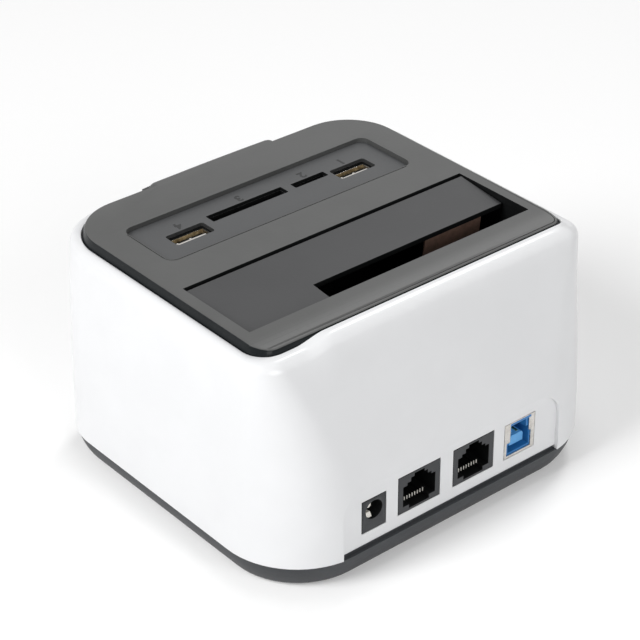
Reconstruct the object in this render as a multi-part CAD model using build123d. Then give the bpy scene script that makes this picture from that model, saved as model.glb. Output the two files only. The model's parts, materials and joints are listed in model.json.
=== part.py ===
"""Hard drive docking station with a card panel, a sprung drive flap and a rear port panel.

Frame: +Z up, +Y towards the rear port panel, +X towards the power jack's side.
The origin is on the surface that the feet stand on. All sizes are in millimetres.
"""
from build123d import *
import os

# Outer body
foot_stand = 1.0
base_height = 8.0
body_height = 67.4
rim_drop = 2.4
rear_rim_rise = 1.6
wall = 2.2
body_half_width = (64.8, 64.4, 62.3)
body_rear = (61.8, 60.9, 47.6)
body_front = (54.0, 54.2, 54.6)
rear_corner = (26.0, 25.0, 7.0)
front_corner = (20.0, 20.3, 21.0)

# Port recess in the rear wall
recess_half_width = 41.9
recess_height = 21.3
recess_corner = 8.0
port_plane = 60.2
panel_thickness = 2.0
panel_foot = 1.1

# Cover seat in the body
seat_side_rim = 6.0
seat_half_width = body_half_width[1] - seat_side_rim
seat_front = 52.5
seat_rear = 44.4
seat_rear_corner = 7.5
seat_front_corner = 18.5
seat_depth = 1.6
ledge_width = 1.5
ledge_thickness = 2.4
cover_gap = 0.3
cover_flare = 1.0
cover_thickness = 2.2
cover_roll_length = 7.4
cover_roll_drop = 1.4

# Drive slot and flap
slot_side_rim = 5.2
slot_half_length = seat_half_width - slot_side_rim
slot_front = 3.2
slot_width = 30.2
flap_thickness = 1.8
flap_tilt = 6.0
flap_open = 80.0
flap_end_gap = 0.4
flap_rear_gap = 0.3
flap_front_gap = 0.9
flap_sink = 0.3
notch_left = 21.4
notch_width = 11.2
hinge_inset = 0.4
hinge_drop = 3.0
hinge_pin_r = 0.75
hinge_barrel_r = 1.4
hinge_running_gap = 0.06
spring_gap = 12.0
spring_wire = 0.4
spring_leg = 2.2
leaf_length = 22.7
leaf_right = 8.5 - slot_half_length
leaf_left = leaf_right + leaf_length
leaf_thickness = 0.5
leaf_drop = 9.0

# Drive bay
bay_wall = 1.7
bay_setback = 9.7
bay_floor_lift = 4.1
bay_rib_width = 3.0
bay_rib_height = 20.0
drive_thickness = 26.1

# Circuit boards
board_thickness = 1.6
board_lift = 13.1
main_half_width = body_half_width[0] - 14.8
main_front = 44.0
card_board_drop = 19.8
front_board_gap = 9.8

# Rear sockets
port_gap = 0.15
jack_x = 30.9
jack_width = 9.0
jack_height = 11.0
jack_depth = 14.0
jack_hole_r = 3.1
jack_hole_lift = 6.8
jack_pin_r = 1.0
network_x = (13.6, -7.8)
network_width = 16.1
network_height = 12.9
network_depth = 16.0
host_x = -26.6
host_width = 12.3
host_height = 12.2
host_depth = 15.0
sheet_metal = 0.4

# Card panel in the cover
card_half_width = seat_half_width - 11.6
card_board_half_width = card_half_width - 0.8
card_front = -33.6
card_rear = -12.2
card_depth = 1.8
card_corner = 3.0
card_plate = 1.2
card_plate_gap = 0.2
card_mouth_round = 0.9
fast_port_sink = 1.6
fast_port_x = (card_half_width - 16.0, 14.4 - card_half_width)
fast_port_y = -23.0
fast_port_width = 13.2
fast_port_height = 5.7
card_slot_x = 6.6
card_slot_y = -26.3
card_slot_width = 27.9
card_slot_height = 3.6
small_slot_x = -17.3
small_slot_y = -26.0
small_slot_width = 12.0
small_slot_height = 2.2

# Front fascia and buttons
fascia_half_width = 25.0
fascia_bottom = 26.0
fascia_proud = 0.8
fascia_bow = 1.2
fascia_thickness = 2.8
fascia_flange = 2.5
tongue_round = 1.4
tongue_gap = 0.1
button_x = 11.0
button_z = 52.0
button_r = 4.9
button_gap = 0.15
button_flange = 1.3
button_proud = 0.5
button_travel = 0.8
light_count = 5
light_pitch = 8.0
light_z = 66.0
light_width = 4.0
light_height = 1.8

# Drive connector
sata_x = -31.0
sata_y = 28.0
sata_length = 37.5
sata_width = 5.4
sata_rise = 7.0

# Fasteners
case_screw_spots = ((seat_half_width - 2.9, -32.0), (seat_half_width - 6.4, 42.0))
case_boss_r = 3.8
case_screw_r = 1.4
board_screw_spots = ((main_half_width - 4.0, -38.0), (main_half_width - 8.0, 40.0))
board_screw_r = 1.2
screw_play = 0.05
bay_screw_rear = (40.0, 39.0)
bay_screw_front = (slot_half_length - 1.7, -12.2)
bay_screw_z = 66.5
foot_r = 6.0
foot_pocket = 1.2
foot_x = body_half_width[2] - 22.3
foot_y = (-38.0, 40.0)

# The middle of the whole, front to rear, before it is moved to the origin
centre_y = 2.4

# Heights worked out from the sizes above
base_top = foot_stand + base_height
cover_top = base_top + body_height
rim_z = cover_top - rim_drop
rear_rim_z = rim_z + rear_rim_rise
ledge_z = rim_z - seat_depth
recess_top = base_top + recess_height
body_levels = (base_top, recess_top, rear_rim_z)
cover_under = cover_top - cover_thickness
card_floor = cover_top - card_depth
card_seat = card_floor - card_plate
card_under = card_seat - 1.4
board_top = foot_stand + board_lift
board_under = board_top - board_thickness
bay_floor = board_top + bay_floor_lift
bay_floor_under = bay_floor - bay_wall
slot_rear = slot_front + slot_width
bay_inner_half = slot_half_length + 0.3
bay_front = slot_front - bay_setback
hinge_y = slot_front + hinge_inset
hinge_z = cover_top - hinge_drop
card_board_top = cover_top - card_board_drop
fascia_face = -(body_front[2] + fascia_proud)
fascia_back = fascia_face + fascia_thickness
fascia_inner = fascia_back + 1.9
front_board_y = fascia_back + front_board_gap


def block(x_range, y_range, z_range):
    """A box between two corners given as ranges along each axis."""
    size = [high - low for low, high in (x_range, y_range, z_range)]
    centre = [(low + high) / 2 for low, high in (x_range, y_range, z_range)]
    return Pos(*centre) * Box(*size)


def post(x, y, z_range, radius):
    """An upright round post."""
    low, high = z_range
    return Pos(x, y, (low + high) / 2) * Cylinder(radius, high - low)


def rod_x(x_range, y, z, radius):
    """A round rod along X."""
    low, high = x_range
    return Pos((low + high) / 2, y, z) * Rot(0, 90, 0) * Cylinder(radius, high - low)


def rod_y(x, y_range, z, radius):
    """A round rod along Y."""
    low, high = y_range
    return Pos(x, (low + high) / 2, z) * Rot(90, 0, 0) * Cylinder(radius, high - low)


def about(centre, width):
    """The range of a given width about a centre."""
    return (centre - width / 2, centre + width / 2)


def both_sides(spots):
    """Each spot and its mirror image across the middle plane."""
    return [(side * x, y) for x, y in spots for side in (1, -1)]


def at_level(values, z):
    """A body size at height z, on the parabola through its three stated values."""
    low, mid, high = body_levels
    a, b, c = values
    part_low = a * (z - mid) * (z - high) / ((low - mid) * (low - high))
    part_mid = b * (z - low) * (z - high) / ((mid - low) * (mid - high))
    part_high = c * (z - low) * (z - mid) / ((high - low) * (high - mid))
    return part_low + part_mid + part_high


def rounded_outline(half_width, front, rear, front_radius, rear_radius):
    """A flat rectangle with one corner radius in front and one at the rear."""
    corners = [(-half_width, -front), (half_width, -front), (half_width, rear), (-half_width, rear)]
    outline = make_face(Polyline(*corners, close=True))
    outline = fillet(outline.vertices().sort_by(Axis.Y)[:2], front_radius)
    return fillet(outline.vertices().sort_by(Axis.Y)[-2:], rear_radius)


def body_section(z, inset=0.0):
    """The body's plan at height z, moved inwards by inset."""
    outline = rounded_outline(
        at_level(body_half_width, z) - inset,
        at_level(body_front, z) - inset,
        at_level(body_rear, z) - inset,
        at_level(front_corner, z) - inset,
        max(at_level(rear_corner, z) - inset, 2.0),
    )
    return Pos(0, 0, z) * outline


def seat_section(z, inset=0.0):
    """The plan of the opening that the cover sits in, moved inwards by inset."""
    outline = rounded_outline(
        seat_half_width - inset,
        seat_front - inset,
        seat_rear - inset,
        seat_front_corner - inset,
        seat_rear_corner - inset,
    )
    return Pos(0, 0, z) * outline


def prism(section, height):
    """A section raised straight up."""
    return extrude(section, amount=height)


def side_prism(points, x_range):
    """A closed Y-Z outline swept along X."""
    low, high = x_range
    face = Plane.YZ * make_face(Polyline(*points, close=True))
    return Pos(low, 0, 0) * extrude(face, amount=high - low, dir=(1, 0, 0))


def screw(x, y, seat_z, length, shank_r, head_r, head_height, up=True):
    """A pan head screw whose head rests on seat_z; up means the shank points up."""
    sign = 1 if up else -1
    shank = post(x, y, tuple(sorted((seat_z, seat_z + sign * length))), shank_r)
    head = post(x, y, tuple(sorted((seat_z - sign * head_height, seat_z))), head_r)
    return shank + head


def rear_port_openings():
    """The four cut-outs that the rear sockets fill."""
    sizes = [(jack_x, jack_width, jack_height)]
    sizes += [(x, network_width, network_height) for x in network_x]
    sizes += [(host_x, host_width, host_height)]
    openings = Part()
    for x, width, height in sizes:
        low = board_top - port_gap
        high = board_top + height + port_gap
        openings += block(about(x, width + 2 * port_gap), (port_plane - 10, port_plane + 5), (low, high))
    return openings


def make_outer_shell():
    """The white body: a lofted wall with a cover seat, a port recess and screw columns."""
    outer = loft([body_section(z) for z in body_levels])
    cavity = loft([body_section(z, wall) for z in (base_top, recess_top, ledge_z - ledge_thickness)])
    inner_panel = port_plane - panel_thickness
    panel_zone = block((-recess_half_width - 2, recess_half_width + 2), (inner_panel, 90), (0, recess_top + 2))
    shell = outer - (cavity - panel_zone)
    shell -= prism(seat_section(0, ledge_width), cover_top)
    shell -= prism(seat_section(ledge_z), rim_drop + seat_depth)
    shell -= rim_trim()
    shell -= recess_cut()
    shell -= rear_port_openings()
    shell -= block(
        (-fascia_half_width - 0.2, fascia_half_width + 0.2),
        (-80, fascia_back + 3.0),
        (fascia_bottom - 0.2, cover_top + 5),
    )
    for x, y in both_sides(case_screw_spots):
        shell += outer & screw_column(x, y)
    for x, y in both_sides(case_screw_spots):
        shell -= post(x, y, (base_top, base_top + 17), case_screw_r + screw_play)
    return shell


def rim_trim():
    """What is taken off the top of the wall: all above the rim, but for the raised rear middle."""
    above = block((-90, 90), (-90, 90), (rim_z, rear_rim_z + 5))
    left_low, left_high = seat_half_width - 8.0, seat_half_width - 20.0
    right_low, right_high = -seat_half_width, -seat_half_width + 10.0
    rise = [
        Line((right_high, rear_rim_z), (left_high, rear_rim_z)),
        Spline((left_high, rear_rim_z), (left_low, rim_z), tangents=((1, 0), (1, 0))),
        Line((left_low, rim_z), (left_low, rim_z - 1)),
        Line((left_low, rim_z - 1), (right_low, rim_z - 1)),
        Line((right_low, rim_z - 1), (right_low, rim_z)),
        Spline((right_low, rim_z), (right_high, rear_rim_z), tangents=((1, 0), (1, 0))),
    ]
    face = Plane.XZ * make_face(rise)
    bump = Pos(0, seat_rear - 5, 0) * extrude(face, amount=40, dir=(0, 1, 0))
    return above - bump


def recess_cut():
    """The flat port recess: rounded at its top corners and open at the body's foot."""
    low = base_top - 10
    height = recess_top - low
    plate = Rectangle(2 * recess_half_width, height)
    plate = fillet(plate.vertices().group_by(Axis.Y)[-1], recess_corner)
    cut = Pos(0, port_plane, low + height / 2) * extrude(Plane.XZ * plate, amount=30, dir=(0, 1, 0))
    foot = block((-recess_half_width, recess_half_width), (40, 90), (low, base_top + panel_foot))
    return cut + foot


def screw_column(x, y):
    """A column for a case screw, joined to the side wall."""
    side = 1 if x > 0 else -1
    z_range = (base_top + 3.0, base_top + 33.0)
    reach = at_level(body_half_width, z_range[0]) - wall / 2
    web = block(tuple(sorted((x, side * reach))), about(y, 2.0), z_range)
    return post(x, y, z_range, case_boss_r - 0.3) + web


def make_base_tray():
    """The dark tray that closes the body from below, with its bosses, lip and vents."""
    insets = ((foot_stand, 3.8), (foot_stand + base_height * 0.45, 1.7), (base_top, 0.4))
    levels = [Pos(0, 0, z - base_top) * body_section(base_top, inset) for z, inset in insets]
    tray = loft(levels)
    floor_z = foot_stand + wall
    tray -= prism(Pos(0, 0, floor_z - base_top) * body_section(base_top, 3.0 + wall), base_height)
    lip = prism(body_section(base_top, wall + 0.2) - body_section(base_top, wall + 1.6), 2.0)
    inner_panel = port_plane - panel_thickness
    tray += lip - block((-recess_half_width - 3, recess_half_width + 3), (inner_panel - 0.3, 90), (0, 90))
    rim_bridge = prism(body_section(base_top, 0.4) - body_section(base_top, 3.0 + wall), -0.8)
    tray += rim_bridge
    sill = block(
        (-recess_half_width + 0.3, recess_half_width - 0.3),
        (inner_panel, port_plane - 0.2),
        (base_top - 1, base_top + panel_foot - 0.1),
    )
    tray += sill
    for x, y in both_sides(case_screw_spots):
        tray += post(x, y, (floor_z - 1, base_top + 2.9), case_boss_r)
        tray -= post(x, y, (0, base_top + 5), case_screw_r + 0.3)
        tray -= post(x, y, (0, foot_stand + 4.0), 3.1)
    for x, y in both_sides(board_screw_spots):
        tray += post(x, y, (floor_z - 0.5, board_under), 3.0)
        tray -= post(x, y, (board_under - 8, board_under + 1), board_screw_r + screw_play)
    for x in (-foot_x, foot_x):
        for y in foot_y:
            tray -= post(x, y, (0, foot_stand + foot_pocket), foot_r + 0.1)
    for row in range(9):
        y = -20.0 + 5.0 * row
        vent = Pos(0, y, foot_stand) * extrude(SlotOverall(46.0, 2.0), amount=wall + 1)
        tray -= vent
    return tray


def make_top_cover():
    """The dark cover: a plate with a flared band, the drive slot and the card panel."""
    skirt = prism(seat_section(ledge_z, cover_gap), seat_depth)
    band = loft([seat_section(rim_z, cover_gap), seat_section(cover_top, cover_gap + cover_flare)])
    cover = skirt + band
    cover -= prism(seat_section(ledge_z, cover_gap + cover_thickness), cover_under - ledge_z)
    cover += block(
        (-card_half_width - 1.8, card_half_width + 1.8),
        (card_front - 1.8, card_rear + 1.8),
        (card_under, cover_under + 0.5),
    )
    pocket = RectangleRounded(2 * card_half_width, card_rear - card_front, card_corner)
    cover -= Pos(0, (card_front + card_rear) / 2, card_seat) * extrude(pocket, amount=card_depth + card_plate + 1)
    cover += front_tongue()
    cover -= block(
        (-slot_half_length, slot_half_length),
        (slot_front, slot_rear),
        (cover_under - 1, cover_top + 1),
    )
    lip_under = cover_top - hinge_drop + hinge_barrel_r + 0.2
    cover -= block((-slot_half_length, slot_half_length), (slot_front - 4, slot_front + 1), (50, lip_under))
    cover -= cover_roll()
    for x, y, width, height, _ in card_mouths():
        cover -= block(about(x, width + 0.4), about(y, height + 0.4), (60, card_seat + 0.5))
    for x in (-1, 1):
        for reach, y in (bay_screw_rear, bay_screw_front):
            cover += post(x * reach, y, (bay_screw_z, cover_under + 0.5), 3.0)
            cover -= post(x * reach, y, (bay_screw_z - 1, bay_screw_z + 6), board_screw_r + screw_play)
        for y in (card_front + 2.2, card_rear - 0.6):
            spot = x * (card_board_half_width - 3.0)
            cover += post(spot, y, (card_board_top, card_under + 0.5), 2.5)
            cover -= post(spot, y, (card_board_top - 1, card_board_top + 6), board_screw_r + screw_play)
    return cover


def bowed_plate(y_outer, y_inner, z_range):
    """A plate across the fascia whose outer face is bowed forwards."""
    half = fascia_half_width
    low, high = z_range
    outline = [
        ThreePointArc((-half, y_outer), (0, y_outer - fascia_bow), (half, y_outer)),
        Line((half, y_outer), (half, y_inner)),
        Line((half, y_inner), (-half, y_inner)),
        Line((-half, y_inner), (-half, y_outer)),
    ]
    return Pos(0, 0, low) * extrude(make_face(outline), amount=high - low)


def bow_at(x):
    """How far the fascia's outer face stands forwards at x."""
    return fascia_bow * (1 - (x / fascia_half_width) ** 2)


def front_tongue():
    """The cover's tongue that runs over the rim to the fascia."""
    tongue = bowed_plate(fascia_face, -seat_front + 2.5, (cover_under, cover_top))
    crest = tongue.edges().filter_by(GeomType.CIRCLE).sort_by(Axis.Z)[-1]
    return fillet(crest, tongue_round)


def card_mouths():
    """Centre, size and corner radius of each opening in the card panel."""
    mouths = [(x, fast_port_y, fast_port_width, fast_port_height, card_mouth_round) for x in fast_port_x]
    mouths.append((card_slot_x, card_slot_y, card_slot_width, card_slot_height, 0.3))
    mouths.append((small_slot_x, small_slot_y, small_slot_width, small_slot_height, 0.3))
    return mouths


def make_card_panel():
    """The plate set in the cover's pocket, with a mouth for each port and card."""
    width = 2 * (card_half_width - card_plate_gap)
    height = card_rear - card_front - 2 * card_plate_gap
    outline = RectangleRounded(width, height, card_corner - card_plate_gap)
    plate = Pos(0, (card_front + card_rear) / 2, card_seat) * extrude(outline, amount=card_plate)
    for x, y, mouth_width, mouth_height, radius in card_mouths():
        mouth = RectangleRounded(mouth_width, mouth_height, radius)
        plate -= Pos(x, y, card_seat - 1) * extrude(mouth, amount=card_plate + 2)
    return plate


def cover_roll():
    """The stock above the convex roll along the cover's rear edge."""
    start = seat_rear - cover_gap - cover_flare - cover_roll_length
    end = seat_rear + 2
    radius = (cover_roll_length**2 + cover_roll_drop**2) / (2 * cover_roll_drop)
    angle = 25.0
    arc = CenterArc((start, cover_top - radius), radius, 90, -angle)
    tail = arc @ 1
    outline = [
        arc,
        Line(tail, (end + 10, tail.Y)),
        Line((end + 10, tail.Y), (end + 10, cover_top + 2)),
        Line((end + 10, cover_top + 2), (start, cover_top + 2)),
        Line((start, cover_top + 2), (start, cover_top)),
    ]
    face = Plane.YZ * make_face(outline)
    return Pos(-90, 0, 0) * extrude(face, amount=180, dir=(1, 0, 0))


def make_drive_bay():
    """The chute that holds a drive upright: open at the top, with a slot for the connector."""
    outer_x = (-bay_inner_half - bay_wall, bay_inner_half + bay_wall)
    outer_y = (bay_front - bay_wall, slot_rear + bay_wall)
    bay = block(outer_x, outer_y, (bay_floor_under, cover_under))
    bay -= block((-bay_inner_half, bay_inner_half), (bay_front, slot_rear), (bay_floor, cover_under + 1))
    bay -= block(
        about(sata_x, sata_length + 0.6),
        about(sata_y, sata_width + 0.6),
        (bay_floor_under - 1, bay_floor + 1),
    )
    bay -= rod_x((outer_x[0] - 1, outer_x[1] + 1), hinge_y, hinge_z, hinge_pin_r + hinge_running_gap)
    rib_reach = slot_rear - drive_thickness - 0.8
    for x in (-40.0, -13.0, 13.0, 40.0):
        bay += block(about(x, bay_rib_width), (bay_front - 0.5, rib_reach), (bay_floor - 0.5, bay_floor + bay_rib_height))
    for x in (-1, 1):
        for reach, y in (bay_screw_rear, bay_screw_front):
            inner_y = slot_rear + 0.5 if y > 0 else bay_front - 0.5
            ear = post(x * reach, y, (bay_screw_z - 2.5, bay_screw_z), 3.0)
            ear += block(about(x * reach, 6.0), tuple(sorted((inner_y, y))), (bay_screw_z - 2.5, bay_screw_z))
            bay += ear
            bay -= post(x * reach, y, (bay_screw_z - 3, bay_screw_z + 1), board_screw_r + 0.2)
    return bay


def flap_turned(shape):
    """A shape of the flap, turned from level to its resting tilt about the hinge."""
    return Pos(0, hinge_y, hinge_z) * Rot(-flap_tilt, 0, 0) * Pos(0, -hinge_y, -hinge_z) * shape


def make_drive_flap():
    """The L-shaped flap: a plate with a notch for slim drives and a barrel on its front edge."""
    left = slot_half_length - flap_end_gap
    top = cover_top - flap_sink
    under = top - flap_thickness
    front = slot_front + flap_front_gap
    plate = block((-left, left), (front, slot_rear - flap_rear_gap), (under, top))
    plate -= block((-left - 1, notch_left), (slot_rear - notch_width, slot_rear + 5), (under - 1, top + 1))
    web = block((-left, left), (front, front + 1.8), (hinge_z, under + 0.2))
    barrel = rod_x((-left, left), hinge_y, hinge_z, hinge_barrel_r)
    flap = plate + web + barrel
    gap = block(about(0, spring_gap), (hinge_y - 3, front + 2.5), (hinge_z - 3, hinge_z + 1.6))
    flap -= gap
    flap -= rod_x((-left - 1, left + 1), hinge_y, hinge_z, hinge_pin_r + hinge_running_gap)
    for x in (-36.0, -18.0, 18.0, 36.0):
        flap += side_prism(
            [(front + 1, under + 0.2), (front + 14, under + 0.2), (front + 1, under - 1.2)],
            about(x, 1.2),
        )
    return flap_turned(flap)


def make_pressure_leaf():
    """The bronze leaf on the flap's underside that presses a slim drive to the rear."""
    under = cover_top - flap_sink - flap_thickness
    edge = slot_rear - notch_width
    tab = block((leaf_right, leaf_left), (edge - 5.0, edge - 0.2), (under - leaf_thickness, under))
    drop = block((leaf_right, leaf_left), (edge - 0.2 - leaf_thickness, edge - 0.2), (under - leaf_drop, under))
    return flap_turned(tab + drop)


def make_hinge_pin():
    """The wire pin that the flap turns on, held by the ends of the bay."""
    reach = bay_inner_half + bay_wall
    return rod_x((-reach, reach), hinge_y, hinge_z, hinge_pin_r)


def make_flap_spring():
    """The torsion spring round the pin, with one leg under the cover and one under the flap."""
    mean_r = hinge_pin_r + 0.15 + spring_wire / 2
    turns = 7
    pitch = 1.1
    length = turns * pitch
    coil = Helix(pitch, length, mean_r, direction=(1, 0, 0), center=(-length / 2, hinge_y, hinge_z))
    section = Plane(origin=coil @ 0, z_dir=coil % 0) * Circle(spring_wire / 2)
    spring = sweep(section, path=coil)
    leg_r = spring_wire / 2 + 0.02
    top = hinge_z + mean_r
    flap_leg = rod_y(-length / 2, (hinge_y - 0.15, hinge_y + spring_leg), top, leg_r)
    cover_leg = rod_y(length / 2, (hinge_y - spring_leg, hinge_y + 0.15), top, leg_r)
    return spring + flap_leg + cover_leg


def make_main_board():
    """The main board: a plate cut back at its rear corners, drilled for its screws."""
    outline = [
        (-main_half_width, -main_front),
        (main_half_width, -main_front),
        (main_half_width, 32.0),
        (recess_half_width - 1.5, port_plane - 2.4),
        (-recess_half_width + 1.5, port_plane - 2.4),
        (-main_half_width, 32.0),
    ]
    board = Pos(0, 0, board_under) * extrude(make_face(Polyline(*outline, close=True)), amount=board_thickness)
    for x, y in both_sides(board_screw_spots):
        board -= post(x, y, (board_under - 1, board_top + 1), board_screw_r + 0.2)
    return board


def make_dc_jack():
    """The power jack's housing, bored for the plug."""
    housing = block(
        about(jack_x, jack_width),
        (port_plane - jack_depth, port_plane),
        (board_top, board_top + jack_height),
    )
    hole_z = board_top + jack_hole_lift
    housing -= rod_y(jack_x, (port_plane - 9.5, port_plane + 1), hole_z, jack_hole_r)
    return housing


def make_dc_jack_pin():
    """The centre pin, seated in the back of the bore."""
    hole_z = board_top + jack_hole_lift
    pin = rod_y(jack_x, (port_plane - 9.5, port_plane - 2.2), hole_z, jack_pin_r)
    tip = pin.edges().filter_by(GeomType.CIRCLE).sort_by(Axis.Y)[-1]
    return fillet(tip, jack_pin_r * 0.6)


def make_dc_jack_contact():
    """The leaf contact that rises from the floor of the bore towards its back."""
    hole_z = board_top + jack_hole_lift
    floor = hole_z - jack_hole_r + 0.45
    return side_prism(
        [
            (port_plane - 1.0, floor),
            (port_plane - 9.5, floor),
            (port_plane - 9.5, floor + 0.35),
            (port_plane - 3.6, floor + 0.9),
            (port_plane - 2.4, floor + 0.9),
            (port_plane - 1.0, floor + 0.3),
        ],
        about(jack_x + 0.3, 1.8),
    )


def make_network_jack(x):
    """A modular jack's housing with its stepped opening, latch side up."""
    low = board_top
    housing = block(
        about(x, network_width),
        (port_plane - network_depth, port_plane),
        (low, low + network_height),
    )
    mouth = (port_plane - 13.0, port_plane + 1)
    housing -= block(about(x, 11.9), mouth, (low + 1.9, low + 8.7))
    housing -= block(about(x, 13.3), mouth, (low + 4.2, low + 7.4))
    housing -= block(about(x, 6.6), mouth, (low + 8.0, low + 10.3))
    housing -= block(about(x, 4.2), mouth, (low + 9.8, low + 11.9))
    return housing


def make_network_contacts():
    """Eight sprung contact wires in each modular jack."""
    wires = []
    for x in network_x:
        for index in range(8):
            place = x + (index - 3.5) * 1.02
            wire = side_prism(
                [
                    (port_plane - 3.0, board_top + 1.9),
                    (port_plane - 2.55, board_top + 1.9),
                    (port_plane - 2.55, board_top + 3.2),
                    (port_plane - 12.6, board_top + 6.6),
                    (port_plane - 13.0, board_top + 6.2),
                    (port_plane - 3.0, board_top + 2.8),
                ],
                about(place, 0.46),
            )
            wires.append(wire)
    return wires


def make_usb_b_shell():
    """The host port's steel shell with a face plate cut to the plug's stepped outline."""
    low = board_top
    shell = block(
        about(host_x, host_width),
        (port_plane - host_depth, port_plane),
        (low, low + host_height),
    )
    inner = 2 * sheet_metal
    shell -= block(
        about(host_x, host_width - inner),
        (port_plane - host_depth + sheet_metal, port_plane - sheet_metal),
        (low + sheet_metal, low + host_height - sheet_metal),
    )
    face = (port_plane - 1, port_plane + 1)
    shell -= block(about(host_x, 10.4), face, (low + 0.8, low + 6.6))
    shell -= block(about(host_x, 7.8), face, (low + 6.0, low + 11.3))
    return shell


def make_usb_b_insert():
    """The blue insert: a block with a two-step opening around a D-shaped tongue."""
    low = board_top + sheet_metal
    width = host_width - 2 * sheet_metal
    height = host_height - 2 * sheet_metal
    back = port_plane - host_depth + sheet_metal
    insert = block(about(host_x, width), (back, port_plane - sheet_metal - 0.1), (low, low + height))
    mouth = (port_plane - 9.5, port_plane + 1)
    insert -= block(about(host_x, 8.6), mouth, (low + 1.0, low + 7.6))
    insert -= block(about(host_x, 6.0), mouth, (low + 7.0, low + 10.3))
    tongue = Rectangle(5.6, 3.3)
    tongue = fillet(tongue.vertices().group_by(Axis.Y)[-1], 0.9)
    centre_z = low + 4.2
    insert += Pos(host_x, port_plane - 10, centre_z) * extrude(Plane.XZ * tongue, amount=8.6, dir=(0, 1, 0))
    return insert


def make_usb_b_contacts():
    """Flat contacts on the upper and lower faces of the tongue."""
    centre_z = board_top + sheet_metal + 4.2
    contacts = []
    for side in (-1, 1):
        for index in (-1, 1):
            z = centre_z + side * (1.65 + 0.1)
            contacts.append(
                block(about(host_x + index * 1.25, 0.8), (port_plane - 9.5, port_plane - 2.4), about(z, 0.2))
            )
    return contacts


def make_card_board():
    """The board under the card panel."""
    board = block(
        (-card_board_half_width, card_board_half_width),
        (card_front - 4.0, card_rear + 2.6),
        (card_board_top - board_thickness, card_board_top),
    )
    for x in (-1, 1):
        for y in (card_front + 2.2, card_rear - 0.6):
            spot = x * (card_board_half_width - 3.0)
            board -= post(spot, y, (card_board_top - 3, card_board_top + 1), board_screw_r + 0.2)
    return board


def make_fast_port_shell(x):
    """A steel tube that stands on the card board and opens flush with the panel."""
    top = card_floor - fast_port_sink
    shell = block(about(x, fast_port_width), about(fast_port_y, fast_port_height), (card_board_top, top))
    upright = shell.edges().filter_by(Axis.Z)
    shell = fillet(upright, card_mouth_round)
    shell -= block(
        about(x, fast_port_width - 2 * sheet_metal),
        about(fast_port_y, fast_port_height - 2 * sheet_metal),
        (card_board_top - 1, top + 1),
    )
    return shell


def make_fast_port_tongue(x):
    """The plastic core of a port: a plug at the foot with a tongue above it."""
    inner_width = fast_port_width - 2 * sheet_metal
    inner_height = fast_port_height - 2 * sheet_metal
    core = block(about(x, inner_width), about(fast_port_y, inner_height), (card_board_top, card_board_top + 5.5))
    tongue_y = fast_port_y - inner_height / 2 + 1.3
    core += block(about(x, 11.2), about(tongue_y, 1.8), (card_board_top + 5, card_floor - fast_port_sink - 1.0))
    return core


def make_fast_port_contacts():
    """Four gold strips on each tongue."""
    strips = []
    face_y = fast_port_y - (fast_port_height / 2 - sheet_metal) + 2.2
    for x in fast_port_x:
        for offset in (-3.5, -1.0, 1.0, 3.5):
            strips.append(
                block(
                    about(x + offset, 1.3),
                    (face_y, face_y + 0.25),
                    (card_board_top + 5.5, card_floor - fast_port_sink - 1.6),
                )
            )
    return strips


def make_card_socket(x, y, width, height, slot_width, slot_height):
    """An upright card socket between the card board and the panel."""
    top = card_under
    body = block(about(x, width), about(y, height), (card_board_top, top))
    body -= block(about(x, slot_width), about(y, slot_height), (card_board_top + 1.2, top + 1))
    return body


def make_front_fascia():
    """The dark strip down the front, bowed, with flanges that hold it behind the wall."""
    fascia = bowed_plate(fascia_face, fascia_back, (fascia_bottom, cover_under - tongue_gap))
    fascia += block(
        (-fascia_half_width, fascia_half_width),
        (fascia_back - 0.1, fascia_inner),
        (fascia_bottom + 1, ledge_z - ledge_thickness - 1.2),
    )
    fascia += block(
        (-fascia_half_width - fascia_flange, fascia_half_width + fascia_flange),
        (fascia_back + 0.75, fascia_inner),
        (fascia_bottom + 1, ledge_z - ledge_thickness - 1.2),
    )
    for x in (-button_x, button_x):
        fascia -= rod_y(x, (fascia_face - 5, fascia_inner + 1), button_z, button_r + button_gap)
    for index in range(light_count):
        fascia -= light_block(index, fascia_face - 5, fascia_inner + 1)
    for x in (-1, 1):
        for z in (button_z - 9, light_z - 5):
            spot = x * (fascia_half_width - 4.0)
            fascia += rod_y(spot, (fascia_back - 0.5, front_board_y), z, 2.2)
            fascia -= rod_y(spot, (front_board_y - 5.6, front_board_y + 1), z, 0.95)
    return fascia


def light_x(index):
    """The middle of a status light."""
    return (index - (light_count - 1) / 2) * light_pitch


def light_block(index, y_low, y_high, shrink=0.0):
    """The window of one status light."""
    width = light_width - shrink
    height = light_height - shrink
    return block(about(light_x(index), width), (y_low, y_high), about(light_z, height))


def make_light_pipes():
    """Clear bars from the front board's lamps to the fascia's windows."""
    pipes = []
    for index in range(light_count):
        face = fascia_face - bow_at(light_x(index)) + 0.25
        pipes.append(light_block(index, face, front_board_y - 1.2))
    return pipes


def make_front_board():
    """The small upright board behind the fascia."""
    board = block(
        (-fascia_half_width + 1, fascia_half_width - 1),
        (front_board_y, front_board_y + board_thickness),
        (button_z - 13, light_z + 3),
    )
    for x in (-1, 1):
        for z in (button_z - 9, light_z - 5):
            place = x * (fascia_half_width - 4.0)
            board -= rod_y(place, (front_board_y - 1, front_board_y + 3), z, 1.15)
    return board


def make_status_lamps():
    """One lamp behind each light pipe."""
    return [light_block(index, front_board_y - 1.2, front_board_y, 0.3) for index in range(light_count)]


def make_switches():
    """The two dome switches behind the buttons."""
    switches = []
    for x in (-button_x, button_x):
        body = block(about(x, 6.0), (front_board_y - 2.8, front_board_y), about(button_z, 6.0))
        body += rod_y(x, (front_board_y - 3.4, front_board_y - 2.7), button_z, 1.6)
        switches.append(body)
    return switches


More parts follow.
